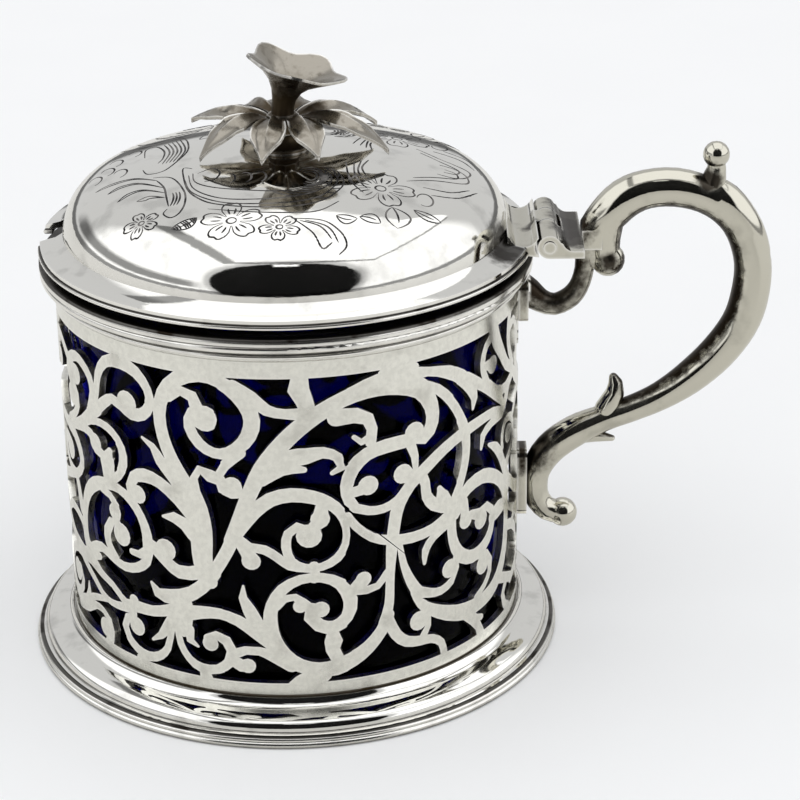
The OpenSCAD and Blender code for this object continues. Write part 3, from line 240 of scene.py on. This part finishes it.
class Graph:
    """Small helper for building a node tree."""

    def __init__(self, tree):
        self.tree = tree
        tree.nodes.clear()

    def add(self, kind, **settings):
        node = self.tree.nodes.new(kind)
        for key, value in settings.items():
            setattr(node, key, value)
        return node

    def link(self, a, b):
        self.tree.links.new(a, b)

    def math(self, operation, a, b=None, clamp=False):
        node = self.add("ShaderNodeMath", operation=operation, use_clamp=clamp)
        for socket, value in zip(node.inputs, (a, b)):
            if value is None:
                continue
            if isinstance(value, (int, float)):
                socket.default_value = value
            else:
                self.link(value, socket)
        return node.outputs[0]

    def vector(self, operation, a, b=None):
        node = self.add("ShaderNodeVectorMath", operation=operation)
        self.link(a, node.inputs[0])
        if isinstance(b, (tuple, Vector)):
            node.inputs[1].default_value = b
        elif b is not None:
            self.link(b, node.inputs[1])
        return node.outputs["Value" if operation in ("DISTANCE", "DOT_PRODUCT") else "Vector"]

    def part(self, vector, index):
        node = self.add("ShaderNodeSeparateXYZ")
        self.link(vector, node.inputs[0])
        return node.outputs[index]

    def step(self, value, low, high, to_low=0.0, to_high=1.0):
        node = self.add("ShaderNodeMapRange", interpolation_type="SMOOTHSTEP")
        self.link(value, node.inputs["Value"])
        node.inputs["From Min"].default_value = low
        node.inputs["From Max"].default_value = high
        node.inputs["To Min"].default_value = to_low
        node.inputs["To Max"].default_value = to_high
        return node.outputs[0]

    def noise(self, vector, scale, detail=2.0, roughness=0.5):
        node = self.add("ShaderNodeTexNoise")
        node.inputs["Scale"].default_value = scale
        node.inputs["Detail"].default_value = detail
        node.inputs["Roughness"].default_value = roughness
        self.link(vector, node.inputs["Vector"])
        return node.outputs["Fac"]

    def stretch(self, vector, scale):
        node = self.add("ShaderNodeMapping")
        node.inputs["Scale"].default_value = scale
        self.link(vector, node.inputs["Vector"])
        return node.outputs[0]

    def blend(self, factor, a, b):
        node = self.add("ShaderNodeMix", data_type="RGBA")
        self.link(factor, node.inputs["Factor"])
        for socket, value in ((node.inputs["A"], a), (node.inputs["B"], b)):
            if isinstance(value, tuple):
                socket.default_value = value
            else:
                self.link(value, socket)
        return node.outputs["Result"]

    def openness(self, reach, inside=False):
        node = self.add("ShaderNodeAmbientOcclusion", samples=OPEN_RAYS, inside=inside)
        node.inputs["Distance"].default_value = reach
        return node.outputs["AO"]

    def bump(self, height, strength, depth):
        node = self.add("ShaderNodeBump")
        node.inputs["Strength"].default_value = strength
        node.inputs["Distance"].default_value = depth
        self.link(height, node.inputs["Height"])
        return node.outputs[0]


def new_material(name):
    """A material, its graph, the inputs of its shader and the place on the object."""
    mat = bpy.data.materials.new(name)
    mat.use_nodes = True
    g = Graph(mat.node_tree)
    out = g.add("ShaderNodeOutputMaterial")
    shader = g.add("ShaderNodeBsdfPrincipled")
    g.link(shader.outputs[0], out.inputs[0])
    place = g.add("ShaderNodeTexCoord").outputs["Object"]
    return mat, g, shader.inputs, place


def silver(name, colour, tarnish, spread, rough, patchy=0.2, grain=260, fleck=0.0, highlight_in=EDGE_HIGHLIGHT_REACH,
           shade_below=0.0, lines=(), spots=(), bend=None):
    """Silver with a painted highlight on its edges, tarnish in hollows and patches, soft dents and hairline
    scratches.

    spread is the strength of tarnish in hollows, rough is the roughness of clean metal, patchy and grain are
    the strength and fineness of the patches, fleck is the strength of fine dull flecks, highlight_in is how
    far in from the edges the painted highlight reaches, shade_below is the strength of painted shade on what
    faces down, lines are darkened bands between two heights, for tarnished seams and for painted shade in a
    gap, spots are darkened places as (centre, radius), for tarnish and for painted shade and reflection, bend
    is the middle of a curve whose inner side is tarnished, and tarnish is the colour of tarnish and painted
    shade.
    """
    mat, g, inputs, place = new_material(name)
    inputs["Metallic"].default_value = 1.0
    normal = g.add("ShaderNodeNewGeometry").outputs["Normal"]
    ragged = g.noise(place, RAGGED_GRAIN, detail=4, roughness=0.6)
    depth = g.step(g.openness(HOLLOW_REACH), *HOLLOW_RANGE, to_low=1.0, to_high=0.0)
    # painted highlight: a near-white colour is laid along every edge
    edge_highlight = g.step(g.openness(highlight_in, inside=True), *EDGE_RANGE, to_low=EDGE_HIGHLIGHT_STRENGTH, to_high=0.0)
    patch = g.step(g.noise(place, grain, detail=4), *PATCH_RANGE)
    # this darkening is tarnish in hollows and patches, and painted shade is added to it below
    stain_and_shade = g.math("ADD", g.math("MULTIPLY", depth, spread), g.math("MULTIPLY", patch, patchy))
    # painted shade: what faces down is darkened
    if shade_below:
        faced = g.math("ADD", g.part(normal, 2), g.math("MULTIPLY", ragged, UNDER_RAGGED))
        stain_and_shade = g.math("ADD", stain_and_shade, g.step(faced, *UNDER_RANGE, to_low=shade_below, to_high=0.0))
    # darkened spots: tarnish at some, painted shadow and painted reflection at others
    for centre, radius in spots:
        share = g.math("DIVIDE", g.vector("DISTANCE", place, centre), radius)
        share = g.math("ADD", share, g.math("MULTIPLY", ragged, SPOT_RAGGED))
        stain_and_shade = g.math("ADD", stain_and_shade, g.step(share, *SPOT_RANGE, to_low=SPOT_DARK, to_high=0.0))
    if bend:
        aim = g.vector("NORMALIZE", g.vector("SUBTRACT", place, bend))
        faced = g.math("ADD", g.vector("DOT_PRODUCT", aim, normal), g.math("MULTIPLY", ragged, BEND_RAGGED))
        inner = g.step(faced, *BEND_RANGE, to_low=1.0, to_high=0.0)
        stain_and_shade = g.math("ADD", stain_and_shade, g.math("MULTIPLY", inner, g.step(g.part(place, 0), *BEND_FROM)))
    unhighlit = g.math("SUBTRACT", 1.0, edge_highlight)
    stain_and_shade = g.math("MULTIPLY", g.math("MULTIPLY", stain_and_shade, 1.0, clamp=True), unhighlit)
    # darkened bands: tarnish in the seams, painted shade in the gap under the lid
    for low, high in lines:
        height = g.part(place, 2)
        above = g.step(height, low - LINE_SOFT, low)
        below = g.step(height, high, high + LINE_SOFT, to_low=LINE_DARK, to_high=0.0)
        stain_and_shade = g.math("ADD", stain_and_shade, g.math("MULTIPLY", above, below))
    stain_and_shade = g.math("MULTIPLY", stain_and_shade, 1.0, clamp=True)
    if fleck:
        dull = tuple(channel * (1 - fleck) for channel in colour[:3]) + (1,)
        flecks = g.noise(place, FLECK_GRAIN, detail=4, roughness=0.65)
        colour = g.blend(g.step(flecks, *FLECK_RANGE), dull, colour)
    # the edges take the painted highlight's near-white colour
    bright = g.blend(edge_highlight, colour, EDGE_HIGHLIGHT_COLOUR)
    g.link(g.blend(stain_and_shade, bright, tarnish), inputs["Base Color"])
    smear = g.noise(place, SMEAR_GRAIN, detail=5, roughness=0.6)
    smeared = g.step(smear, *SMEAR_RANGE, to_low=rough, to_high=2 * rough)
    g.link(g.math("ADD", smeared, g.math("MULTIPLY", stain_and_shade, STAIN_AND_SHADE_ROUGH)), inputs["Roughness"])
    hair = g.noise(g.stretch(place, HAIR_GRAIN), 1.0, detail=3)
    dent = g.noise(place, DENT_GRAIN)
    uneven = g.math("ADD", g.math("MULTIPLY", hair, HAIR_SHARE), g.math("MULTIPLY", dent, DENT_SHARE))
    g.link(g.bump(uneven, SILVER_BUMP, SILVER_DEPTH), inputs["Normal"])
    return mat


def engraved():
    """Dark oxide in the chased lines, rubbed grey in places."""
    mat, g, inputs, place = new_material("chased_look")
    inputs["Roughness"].default_value = OXIDE_ROUGH
    inputs["Specular IOR Level"].default_value = OXIDE_SHINE
    wear = g.step(g.noise(place, OXIDE_GRAIN, detail=3), *OXIDE_RANGE)
    g.link(g.blend(wear, OXIDE_DARK, OXIDE_WORN), inputs["Base Color"])
    return mat


def cobalt_glass():
    """Deep blue glass, a little cloudy, smeared and wavy."""
    mat, g, inputs, place = new_material("cobalt_glass_look")
    inputs["Transmission Weight"].default_value = 1.0
    inputs["IOR"].default_value = GLASS_IOR
    g.link(g.blend(g.noise(place, GLASS_CLOUDS), GLASS_DARK, GLASS_PALE), inputs["Base Color"])
    g.link(g.step(g.noise(place, GLASS_SMEARS, detail=3), *GLASS_RANGE, *GLASS_ROUGH), inputs["Roughness"])
    g.link(g.bump(g.noise(place, GLASS_WAVES, detail=1), GLASS_BUMP, GLASS_DEPTH), inputs["Normal"])
    return mat


def floor_material():
    """A pale floor, which polished metal mirrors a little darker."""
    mat, g, inputs, place = new_material("floor_look")
    inputs["Roughness"].default_value = FLOOR_ROUGH
    inputs["Specular IOR Level"].default_value = FLOOR_SHINE
    pale = g.blend(g.noise(place, FLOOR_GRAIN), FLOOR_LOW, FLOOR_HIGH)
    mirrored_floor = g.add("ShaderNodeLightPath").outputs["Is Glossy Ray"]
    g.link(g.blend(mirrored_floor, pale, FLOOR_MIRRORED), inputs["Base Color"])
    return mat


def make_world():
    """Soft light from above, and the room that polished metal and glass see.

    That room has a lit ceiling with a framed panel, a grey back wall and a dark round screen in front.
    """
    world = bpy.data.worlds.new("studio")
    world.use_nodes = True
    scene.world = world
    g = Graph(world.node_tree)
    out = g.add("ShaderNodeOutputWorld")
    ground = g.add("ShaderNodeBackground")
    g.link(ground.outputs[0], out.inputs[0])
    split = g.add("ShaderNodeSeparateXYZ")
    g.link(g.add("ShaderNodeTexCoord").outputs["Generated"], split.inputs[0])
    x, y, z = split.outputs
    high = g.math("MAXIMUM", z, CEILING_LOWEST)
    ceiling_x = g.math("DIVIDE", x, high)
    ceiling_y = g.math("DIVIDE", y, high)

    def between(value, low, high, soft):
        return g.math("MULTIPLY", g.step(value, low, low + soft), g.step(value, high, high - soft))

    def oblong(left, right, front, back, soft):
        sides = between(ceiling_x, left, right, soft)
        return g.math("MULTIPLY", sides, between(ceiling_y, front, back, soft))

    def darken(level, mask, share):
        return g.math("MULTIPLY", level, g.math("SUBTRACT", 1.0, g.math("MULTIPLY", mask, share)))

    def lighten(level, mask):
        return g.math("MAXIMUM", level, g.math("MULTIPLY", mask, ROOM_LIT))

    level = g.step(y, *BACK_WALL, to_low=ROOM_LIT, to_high=ROOM_GREY)
    level = darken(level, oblong(*PANEL_FRAME), FRAME_DARK)
    level = lighten(level, oblong(*PANEL))
    streak = g.math("MULTIPLY", g.step(z, *STREAK_LOW), g.step(z, *STREAK_HIGH))
    level = darken(level, g.math("MULTIPLY", streak, g.step(x, *STREAK_SIDE)), STREAK_DARK)
    across = g.math("DIVIDE", g.math("SUBTRACT", x, SCREEN_MIDDLE[0]), SCREEN_HALF[0])
    height = g.math("DIVIDE", g.math("SUBTRACT", z, SCREEN_MIDDLE[1]), SCREEN_HALF[1])
    round_screen = g.math("ADD", g.math("MULTIPLY", across, across), g.math("MULTIPLY", height, height))
    front = g.step(y, *FRONT)
    level = darken(level, g.math("MULTIPLY", g.step(round_screen, *SCREEN_SHADE), front), SHADE_DARK)
    level = darken(level, g.math("MULTIPLY", g.step(round_screen, *SCREEN_EDGE), front), SCREEN_DARK)
    level = lighten(level, oblong(*FRONT_STRIP))
    off_horizon = g.math("ABSOLUTE", g.math("SUBTRACT", z, HORIZON))
    level = darken(level, g.step(off_horizon, *HORIZON_BAND), HORIZON_DARK)
    sky = g.math("ADD", g.math("MULTIPLY", z, SKY_RISE), SKY_LEVEL)
    sky = g.math("SUBTRACT", sky, g.math("MULTIPLY", y, SKY_FALL))
    sky = g.math("MAXIMUM", sky, SKY_LEAST)
    path = g.add("ShaderNodeLightPath")
    shiny = g.math("MAXIMUM", path.outputs["Is Glossy Ray"], path.outputs["Is Transmission Ray"])
    dull = g.math("MULTIPLY", g.math("SUBTRACT", 1.0, shiny), sky)
    lit = g.math("ADD", g.math("MULTIPLY", shiny, level), dull)
    seen = path.outputs["Is Camera Ray"]
    unseen = g.math("SUBTRACT", 1.0, seen)
    mix = g.math("ADD", g.math("MULTIPLY", lit, unseen), g.math("MULTIPLY", seen, BACKDROP))
    tint = g.add("ShaderNodeCombineColor")
    for channel, share in zip(tint.inputs, ROOM_TINT):
        g.link(g.math("MULTIPLY", mix, share), channel)
    g.link(tint.outputs[0], ground.inputs["Color"])


def make_floor():
    mesh = bpy.data.meshes.new("floor")
    corners = [(x * FLOOR_HALF, y * FLOOR_HALF, 0) for x, y in ((-1, -1), (1, -1), (1, 1), (-1, 1))]
    mesh.from_pydata(corners, [], [(0, 1, 2, 3)])
    floor = bpy.data.objects.new("floor", mesh)
    scene.collection.objects.link(floor)
    mesh.materials.append(floor_material())


def dress(name, mat, angle):
    """Gives a solid its material and smooth shading between its sharp edges."""
    obj = nodes[name]
    obj.data.materials.clear()
    obj.data.materials.append(mat)
    for face in obj.data.polygons:
        face.use_smooth = True
    weld = obj.modifiers.new("weld", "WELD")
    weld.merge_threshold = WELD_GAP
    split = obj.modifiers.new("split", "EDGE_SPLIT")
    split.split_angle = math.radians(angle)


# The ornament on the lid is drawn in mm as seen from above, about the pot's axis, with the front at -y


def bowed(start, end, bow, count=12):
    """A bowed line from start to end; bow is its sideways rise as a share of its length."""
    dx = end[0] - start[0]
    dy = end[1] - start[1]
    points = []
    for k in range(count + 1):
        t = k / count
        rise = 4 * bow * t * (1 - t)
        points.append((start[0] + dx * t - dy * rise, start[1] + dy * t + dx * rise))
    return points


def curve(*points, steps=6):
    """A smooth line through a few points."""
    ends = [points[0]] + list(points) + [points[-1]]
    line = []
    for k in range(1, len(points)):
        p, q, r, s = (Vector(point) for point in ends[k - 1:k + 3])
        square = 2 * p - 5 * q + 4 * r - s
        cube = 3 * q - p - 3 * r + s
        for n in range(steps):
            t = n / steps
            line.append(q + t / 2 * ((r - p) + t * (square + t * cube)))
    return [tuple(point) for point in line] + [points[-1]]


def frond_lines(*points, width=0.5):
    """A frond's edge and the line back from its tip."""
    edge = curve(*points)
    last = len(edge) - 1
    back = []
    for k, point in enumerate(edge):
        along = Vector(edge[min(k + 1, last)]) - Vector(edge[max(k - 1, 0)])
        side = Vector((-along.y, along.x)).normalized()
        back.append(tuple(Vector(point) + side * width * math.sin(math.pi * (k / last) ** FROND_LEAN)))
    return [edge, back]


def hatching(line_a, line_b, count):
    """Shading lines between two lines."""
    lines = []
    for k in range(count):
        t = (k + 0.5) / count
        a = line_a[round(t * (len(line_a) - 1))]
        b = line_b[round(t * (len(line_b) - 1))]
        lines.append(bowed(a, b, HATCH_BOW, count=4))
    return lines


def oval(centre, across, along, a0, a1, shrink=1.0):
    """A stretch of an oval from angle a0 to a1, drawing in towards its centre by the share shrink."""
    count = max(OVAL_LEAST, round(abs(a1 - a0) / OVAL_STEP))
    points = []
    for k in range(count + 1):
        t = k / count
        angle = math.radians(a0 + (a1 - a0) * t)
        size = 1 + (shrink - 1) * t
        x = centre[0] + across * size * math.cos(angle)
        y = centre[1] + along * size * math.sin(angle)
        points.append((x, y))
    return points


def leaf_lines(root, tip, bow, width):
    """A leaf's two edges and its midrib."""
    middle = bowed(root, tip, bow)
    length = math.dist(root, tip)
    side = ((root[1] - tip[1]) / length, (tip[0] - root[0]) / length)
    lines = [middle[:-MIDRIB_SHORT]]
    for sign in (-1, 1):
        edge = []
        for k, point in enumerate(middle):
            off = sign * width * math.sin(math.pi * k / (len(middle) - 1)) ** LEAF_FULLNESS
            edge.append((point[0] + side[0] * off, point[1] + side[1] * off))
        lines.append(edge)
    return lines


def flower_lines(centre, radius, turn, petals=5):
    """Notched petals with two veins each, round a small eye."""

    def outward(share, angle):
        return (centre[0] + radius * share * math.cos(angle), centre[1] + radius * share * math.sin(angle))

    lines = [oval(centre, radius * FLOWER_EYE, radius * FLOWER_EYE, 0, 360)]
    step = 2 * math.pi / petals
    for k in range(petals):
        aim = math.radians(turn) + k * step
        edge = []
        for n in range(2 * PETAL_STEPS + 1):
            u = n / PETAL_STEPS - 1
            notch = 1 - NOTCH_DEPTH * math.exp(-(u / NOTCH_WIDTH) ** 2)
            reach = PETAL_ROOT + (1 - PETAL_ROOT) * math.cos(u * math.pi / 2) ** 0.5 * notch
            edge.append(outward(reach, aim + PETAL_HALF * step * u))
        lines.append(edge)
        for lean in VEIN_LEANS:
            angle = aim + lean * step
            lines.append(bowed(outward(VEIN_FROM, angle), outward(VEIN_TO, angle), lean * VEIN_BOW, count=5))
    return lines


def cartouche_lines():
    """The moulded C scroll in front of the finial, with its end curls."""
    outer = curve((-11.2, -5.2), (-12.3, -4.6), (-12.2, -6.9), (-11.4, -11.1), (-10, -13.7), (-7.8, -15.6),
                  (-3.6, -16.9), (1.5, -17), (5, -15.6), (7, -13), (7.7, -10.5), (6.7, -7.5), (5, -6.7))
    second = curve((-11.9, -8.4), (-10.9, -11.9), (-8.2, -14.7), (-4.6, -16.1), (0.6, -16.2), (4.5, -14.8),
                   (6.5, -12), (6.9, -9.6), (6, -7.8))
    third = curve((-11.5, -7.2), (-10.8, -10.8), (-8.7, -13.4), (-5.7, -14.9), (-1, -15.2), (3, -14.2),
                  (5.6, -12), (6.2, -9.6), (5.4, -7.8), (4, -7.8))
    inner = curve((-11, -6.8), (-10.5, -9.5), (-8, -11.6), (-3.7, -13), (0.2, -13.4), (3, -12.4),
                  (4.9, -10.6), (4.9, -9))
    skirt = curve((-8.6, -16.6), (-3.6, -18), (1.5, -18.4), (4.8, -17.8), (7.2, -15.4))
    lines = [outer, second, third, inner, skirt]
    lines.append(curve((-10.4, -7), (-8.6, -6), (-7.6, -7.6), (-8.2, -9.4), (-9.4, -9.6)))
    lines += hatching(third[len(third) // 2:], inner[len(inner) // 2:], count=12)
    lines += hatching(outer[-24:], second[-20:], count=8)
    for x in (-6.4, -4.4, -2.6):
        lines.append(oval((x, -9.6), 0.9, 1.5, 120, -80, shrink=0.8))
    for size in (1.0, 0.75, 0.5):
        lines.append(oval((3.6, -9.4), 1.6 * size, 2.4 * size, 150, -120))
    return lines


def spray_lines():
    """Flowers, leaves and fronds round the front of the dome."""
    lines = flower_lines((-5.6, -19.6), 3.9, 20)
    dark_leaf = leaf_lines((-9.8, -18.2), (-12.8, -19.8), 0.12, 0.9)
    lines += dark_leaf + hatching(dark_leaf[1], dark_leaf[2], count=9)
    lines += flower_lines((0.2, -21.3), 2.6, 50)
    feather = curve((1.8, -19.6), (5.3, -19.8), (7.3, -21.6), (8.2, -23.7), (7.3, -25))
    lines += [feather, curve((1.9, -19.8), (4.1, -22.2), (5.3, -24.6), (6.5, -23.7))]
    lines.append(curve((2.6, -20), (5, -21), (6.4, -23.2)))
    lines.append(curve((3.2, -19.9), (5.9, -21), (7.2, -23.6)))
    lines += leaf_lines((6.9, -18.6), (9.4, -18.9), -0.2, 0.9)
    lines += leaf_lines((9.7, -18.4), (12.2, -19.2), 0.15, 0.9)
    lines += flower_lines((12.2, -11.2), 4.4, 5)
    lines += leaf_lines((13.6, -15.4), (14.2, -19.6), 0.1, 1.5)
    lines += leaf_lines((16.2, -15.1), (19.5, -16.1), -0.12, 0.7)
    lines.append(oval((17.6, -12.2), 1.0, 1.5, 170, -120))
    lines.append(curve((7.9, -4.5), (8.2, -8.2), (8.9, -10.9), (10.1, -12.8)))
    lines.append(curve((8.9, -4.2), (9, -7.8), (9.7, -10.2), (10.6, -11.6)))
    lines.append(curve((9.8, -3.6), (9.4, -6.8), (10, -9)))
    lines.append(curve((10.7, -3.1), (9.9, -5.8), (10.4, -8.2)))
    swirl = curve((15.4, -8), (18.6, -6.3), (22.7, -4.8), (23, -2.4), (21.7, -0.7), (19.6, -0.3))
    lines += [swirl, curve((16.2, -6.6), (18.8, -5.2), (21.6, -3.9), (21.6, -2.2), (20.2, -1.6))]
    lines.append(curve((24.2, -6), (21.7, -9.6), (18.4, -10.6)))
    lines.append(curve((23.2, -6.4), (20.8, -8.6), (17.4, -8.9)))
    lines += frond_lines((-15.5, -7), (-18.5, -4.7), (-21.4, -4.5), (-23.3, -5.6))
    lines += frond_lines((-14.5, -9.5), (-17.9, -6.5), (-20.3, -6.3), (-21.6, -7.5))
    lines += frond_lines((-14.2, -11), (-17.1, -8.9), (-19, -9.1), (-20.1, -10.6))
    lines += frond_lines((-14.1, -12.3), (-16.1, -11.1), (-17.6, -11.7), width=0.8)
    lines += flower_lines((-16.6, -17.2), 2.3, 35)
    scroll = curve((-16, -5.9), (-13.6, -7.1), (-11.8, -11.4), (-11.5, -14.5), (-12.1, -16.7), (-13.1, -17.3),
                   (-14, -16.2), (-13.6, -15.2))
    fold = curve((-15.5, -7), (-14.4, -9.5), (-13.9, -12.3), (-13.5, -14.6))
    lines += [scroll, fold]
    for shift in (0.4, 0.8, 1.2):
        lines.append(bowed((-13.7 + shift, -14.6), (-13.6 + shift, -11.4), -0.08))
    return lines


def acanthus_lines():
    """The ribbed leaf scroll at the spoon side of the lid."""
    outer = curve((-17.6, -2.4), (-16.9, -4.2), (-15.4, -4.5), (-14.1, -3.3), (-12.4, 1.1), (-12.4, 5.1),
                  (-13.3, 9.3), (-15.5, 13.6))
    lines = [outer, curve((-17.8, 2.6), (-18, 6.6), (-16.7, 7.2), (-15.4, 3.8), (-15.3, 0.7), (-15.8, -1))]
    for k in range(5):
        root = (-15.2 + 0.45 * k, -1.6)
        middle = (-14.6 + 0.5 * k, 2.6)
        tip = (-15.7 + 0.5 * k, 7.4 + 0.3 * k)
        lines.append(curve(root, middle, tip))
    for x, y in ((-20.6, -1.4), (-22.4, 0.6), (-21.6, 3.6), (-23.8, -1.6), (-19.4, 6)):
        lines.append(oval((x, y), 0.9, 1.5, 160, -80))
    return lines


def mirrored(lines, turn):
    """The same ornament across the lid's middle plane, turned about the pot's axis."""
    c = math.cos(math.radians(turn))
    s = math.sin(math.radians(turn))
    return [[(x * c + y * s, x * s - y * c) for x, y in line] for line in lines]


def make_chasing(mat):
    """Lays every line of the ornament on the dome as a fine tapering ridge."""
    dome = nodes["lid_dome"].data
    tree = BVHTree.FromPolygons([v.co for v in dome.vertices], [p.vertices for p in dome.polygons])
    front = cartouche_lines() + spray_lines()
    verts = []
    faces = []
    for line in front + acanthus_lines() + mirrored(front, BACK_TURN):
        hits = [tree.ray_cast(Vector((x * MM, y * MM, cad_hi[2])), Vector((0, 0, -1))) for x, y in line]
        last = len(hits) - 1
        base = len(verts)
        for k, (place, normal, _, _) in enumerate(hits):
            along = hits[min(k + 1, last)][0] - hits[max(k - 1, 0)][0]
            side = normal.cross(along).normalized()
            swell = LINE_TIP + (1 - LINE_TIP) * math.sin(math.pi * k / last) ** 0.5
            half = 0.5 * LINE_WIDTH * swell
            verts.append(place + side * half - normal * LINE_SUNK)
            verts.append(place + normal * LINE_RAISED)
            verts.append(place - side * half - normal * LINE_SUNK)
        for k in range(last):
            a = base + 3 * k
            faces.append((a, a + 1, a + 4, a + 3))
            faces.append((a + 1, a + 2, a + 5, a + 4))
    mesh = bpy.data.meshes.new("lid_chasing")
    mesh.from_pydata(verts, [], faces)
    mesh.materials.append(mat)
    for face in mesh.polygons:
        face.use_smooth = True
    chasing = bpy.data.objects.new("lid_chasing", mesh)
    scene.collection.objects.link(chasing)
    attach(chasing, "lid")


make_camera()
make_world()
make_floor()
scene.view_settings.view_transform = "Standard"

# Darkened bands, each between two heights: painted shade in the gap between rim and lid, tarnish in the seams
wire_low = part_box("lid_wire")[0].z
wire_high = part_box("lid_wire")[1].z
foot_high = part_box("foot_wire")[1].z
drum_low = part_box("foot_ring")[1].z
# painted shade: the rim's top and the gap up to the lid's wire are coloured black, where the lid shades them
GAP_SHADE = (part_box("rim_moulding")[1].z - 0.3 * MM, wire_low + 0.05 * MM)
LID_SEAM = (wire_high - 0.05 * MM, wire_high + 0.1 * MM)
FOOT_SEAM = (foot_high - 0.02 * MM, foot_high + 0.02 * MM)
DRUM_SEAM = (drum_low, drum_low + 0.3 * MM)

# Darkened spots, each as its centre and radius, and the middle of the handle's bend; several spots hold
# painted shadow and painted reflection, as noted at each
STEM = (Vector((33.9, 0, 49.4)) * MM, 7.4 * MM)
BUD = (Vector((41.2, -1.2, 51.6)) * MM, 2 * MM)
# painted reflection: the hinge plate's top is darkened where it mirrors the dark handle
PLATE_FRONT_REFLECTION = (Vector((36.3, -3.5, 56.2)) * MM, 4.4 * MM)
PLATE_MIDDLE_REFLECTION = (Vector((36.3, 1, 56.2)) * MM, 4.4 * MM)
PLATE_BACK_REFLECTION = (Vector((36.3, 5.5, 56.2)) * MM, 4.4 * MM)
SADDLE = (Vector((30.8, -1, 57)) * MM, 2.2 * MM)
# painted shadow: the neck of the ball, where the sheath shades the tube
BALL_NECK_SHADOW = (Vector((53.6, -1, 61.9)) * MM, 2.4 * MM)
LOWER_CURL = (Vector((31.2, -0.5, 25.8)) * MM, 5.4 * MM)
# painted shadow and dark reflection: the black hollow under the lid's hinge leaf
BED_SHADOW = (Vector((28.2, -9.3, 55.4)) * MM, 6.8 * MM)
# painted shade: the finial's leaf roots, in the shadow of the drooping leaves
LEAF_ROOT_SHADE = (Vector((0, 0, 69)) * MM, 9 * MM)
HANDLE_BEND = Vector((49.5, 0, 48)) * MM

# Colours of clean silver and of tarnish
SHEET = (0.84, 0.83, 0.79, 1)
DRUM = (0.86, 0.855, 0.795, 1)
CASTING = (0.61, 0.59, 0.51, 1)
FLOWER = (0.34, 0.315, 0.27, 1)
BROWN = (0.075, 0.056, 0.034, 1)
DEEP_BROWN = (0.026, 0.019, 0.013, 1)
BLACK = (0.016, 0.012, 0.008, 1)

# polished and beaded silver carry the painted shade in the gap under the lid
polished = silver("polished_look", SHEET, BLACK, spread=0.7, rough=0.03, lines=(GAP_SHADE, LID_SEAM, FOOT_SEAM),
                  spots=(BED_SHADOW,))
beaded = silver("beaded_look", SHEET, BLACK, spread=0.7, rough=0.11, lines=(GAP_SHADE, LID_SEAM, FOOT_SEAM))
satin = silver("satin_look", DRUM, BROWN, spread=0.8, rough=0.14, fleck=0.11, lines=(DRUM_SEAM,))
cast = silver("cast_look", CASTING, DEEP_BROWN, spread=0.9, rough=0.06, bend=HANDLE_BEND,
              spots=(STEM, BUD, PLATE_FRONT_REFLECTION, PLATE_MIDDLE_REFLECTION, PLATE_BACK_REFLECTION, SADDLE, BALL_NECK_SHADOW, LOWER_CURL))
# the finial gets painted shade on what faces down
finial = silver("finial_look", FLOWER, BROWN, spread=1.0, rough=0.12, patchy=0.5, grain=700,
                highlight_in=0.3 * MM, shade_below=0.15, spots=(LEAF_ROOT_SHADE,))
glass = cobalt_glass()

LOOKS = {"sheet_silver": polished, "cast_silver": cast, "finial_silver": finial, "cobalt_glass": glass}
BEADED = ("rim_moulding", "foot_wire", "lid_wire")
for part in frame["record"]["subparts"]:
    if part["node"] in BEADED:
        dress(part["node"], beaded, BEAD_ANGLE)
    else:
        dress(part["node"], LOOKS[part["material_slot"]], SHARP_ANGLE)
nodes["pierced_drum"].data.materials[0] = satin
make_chasing(engraved())
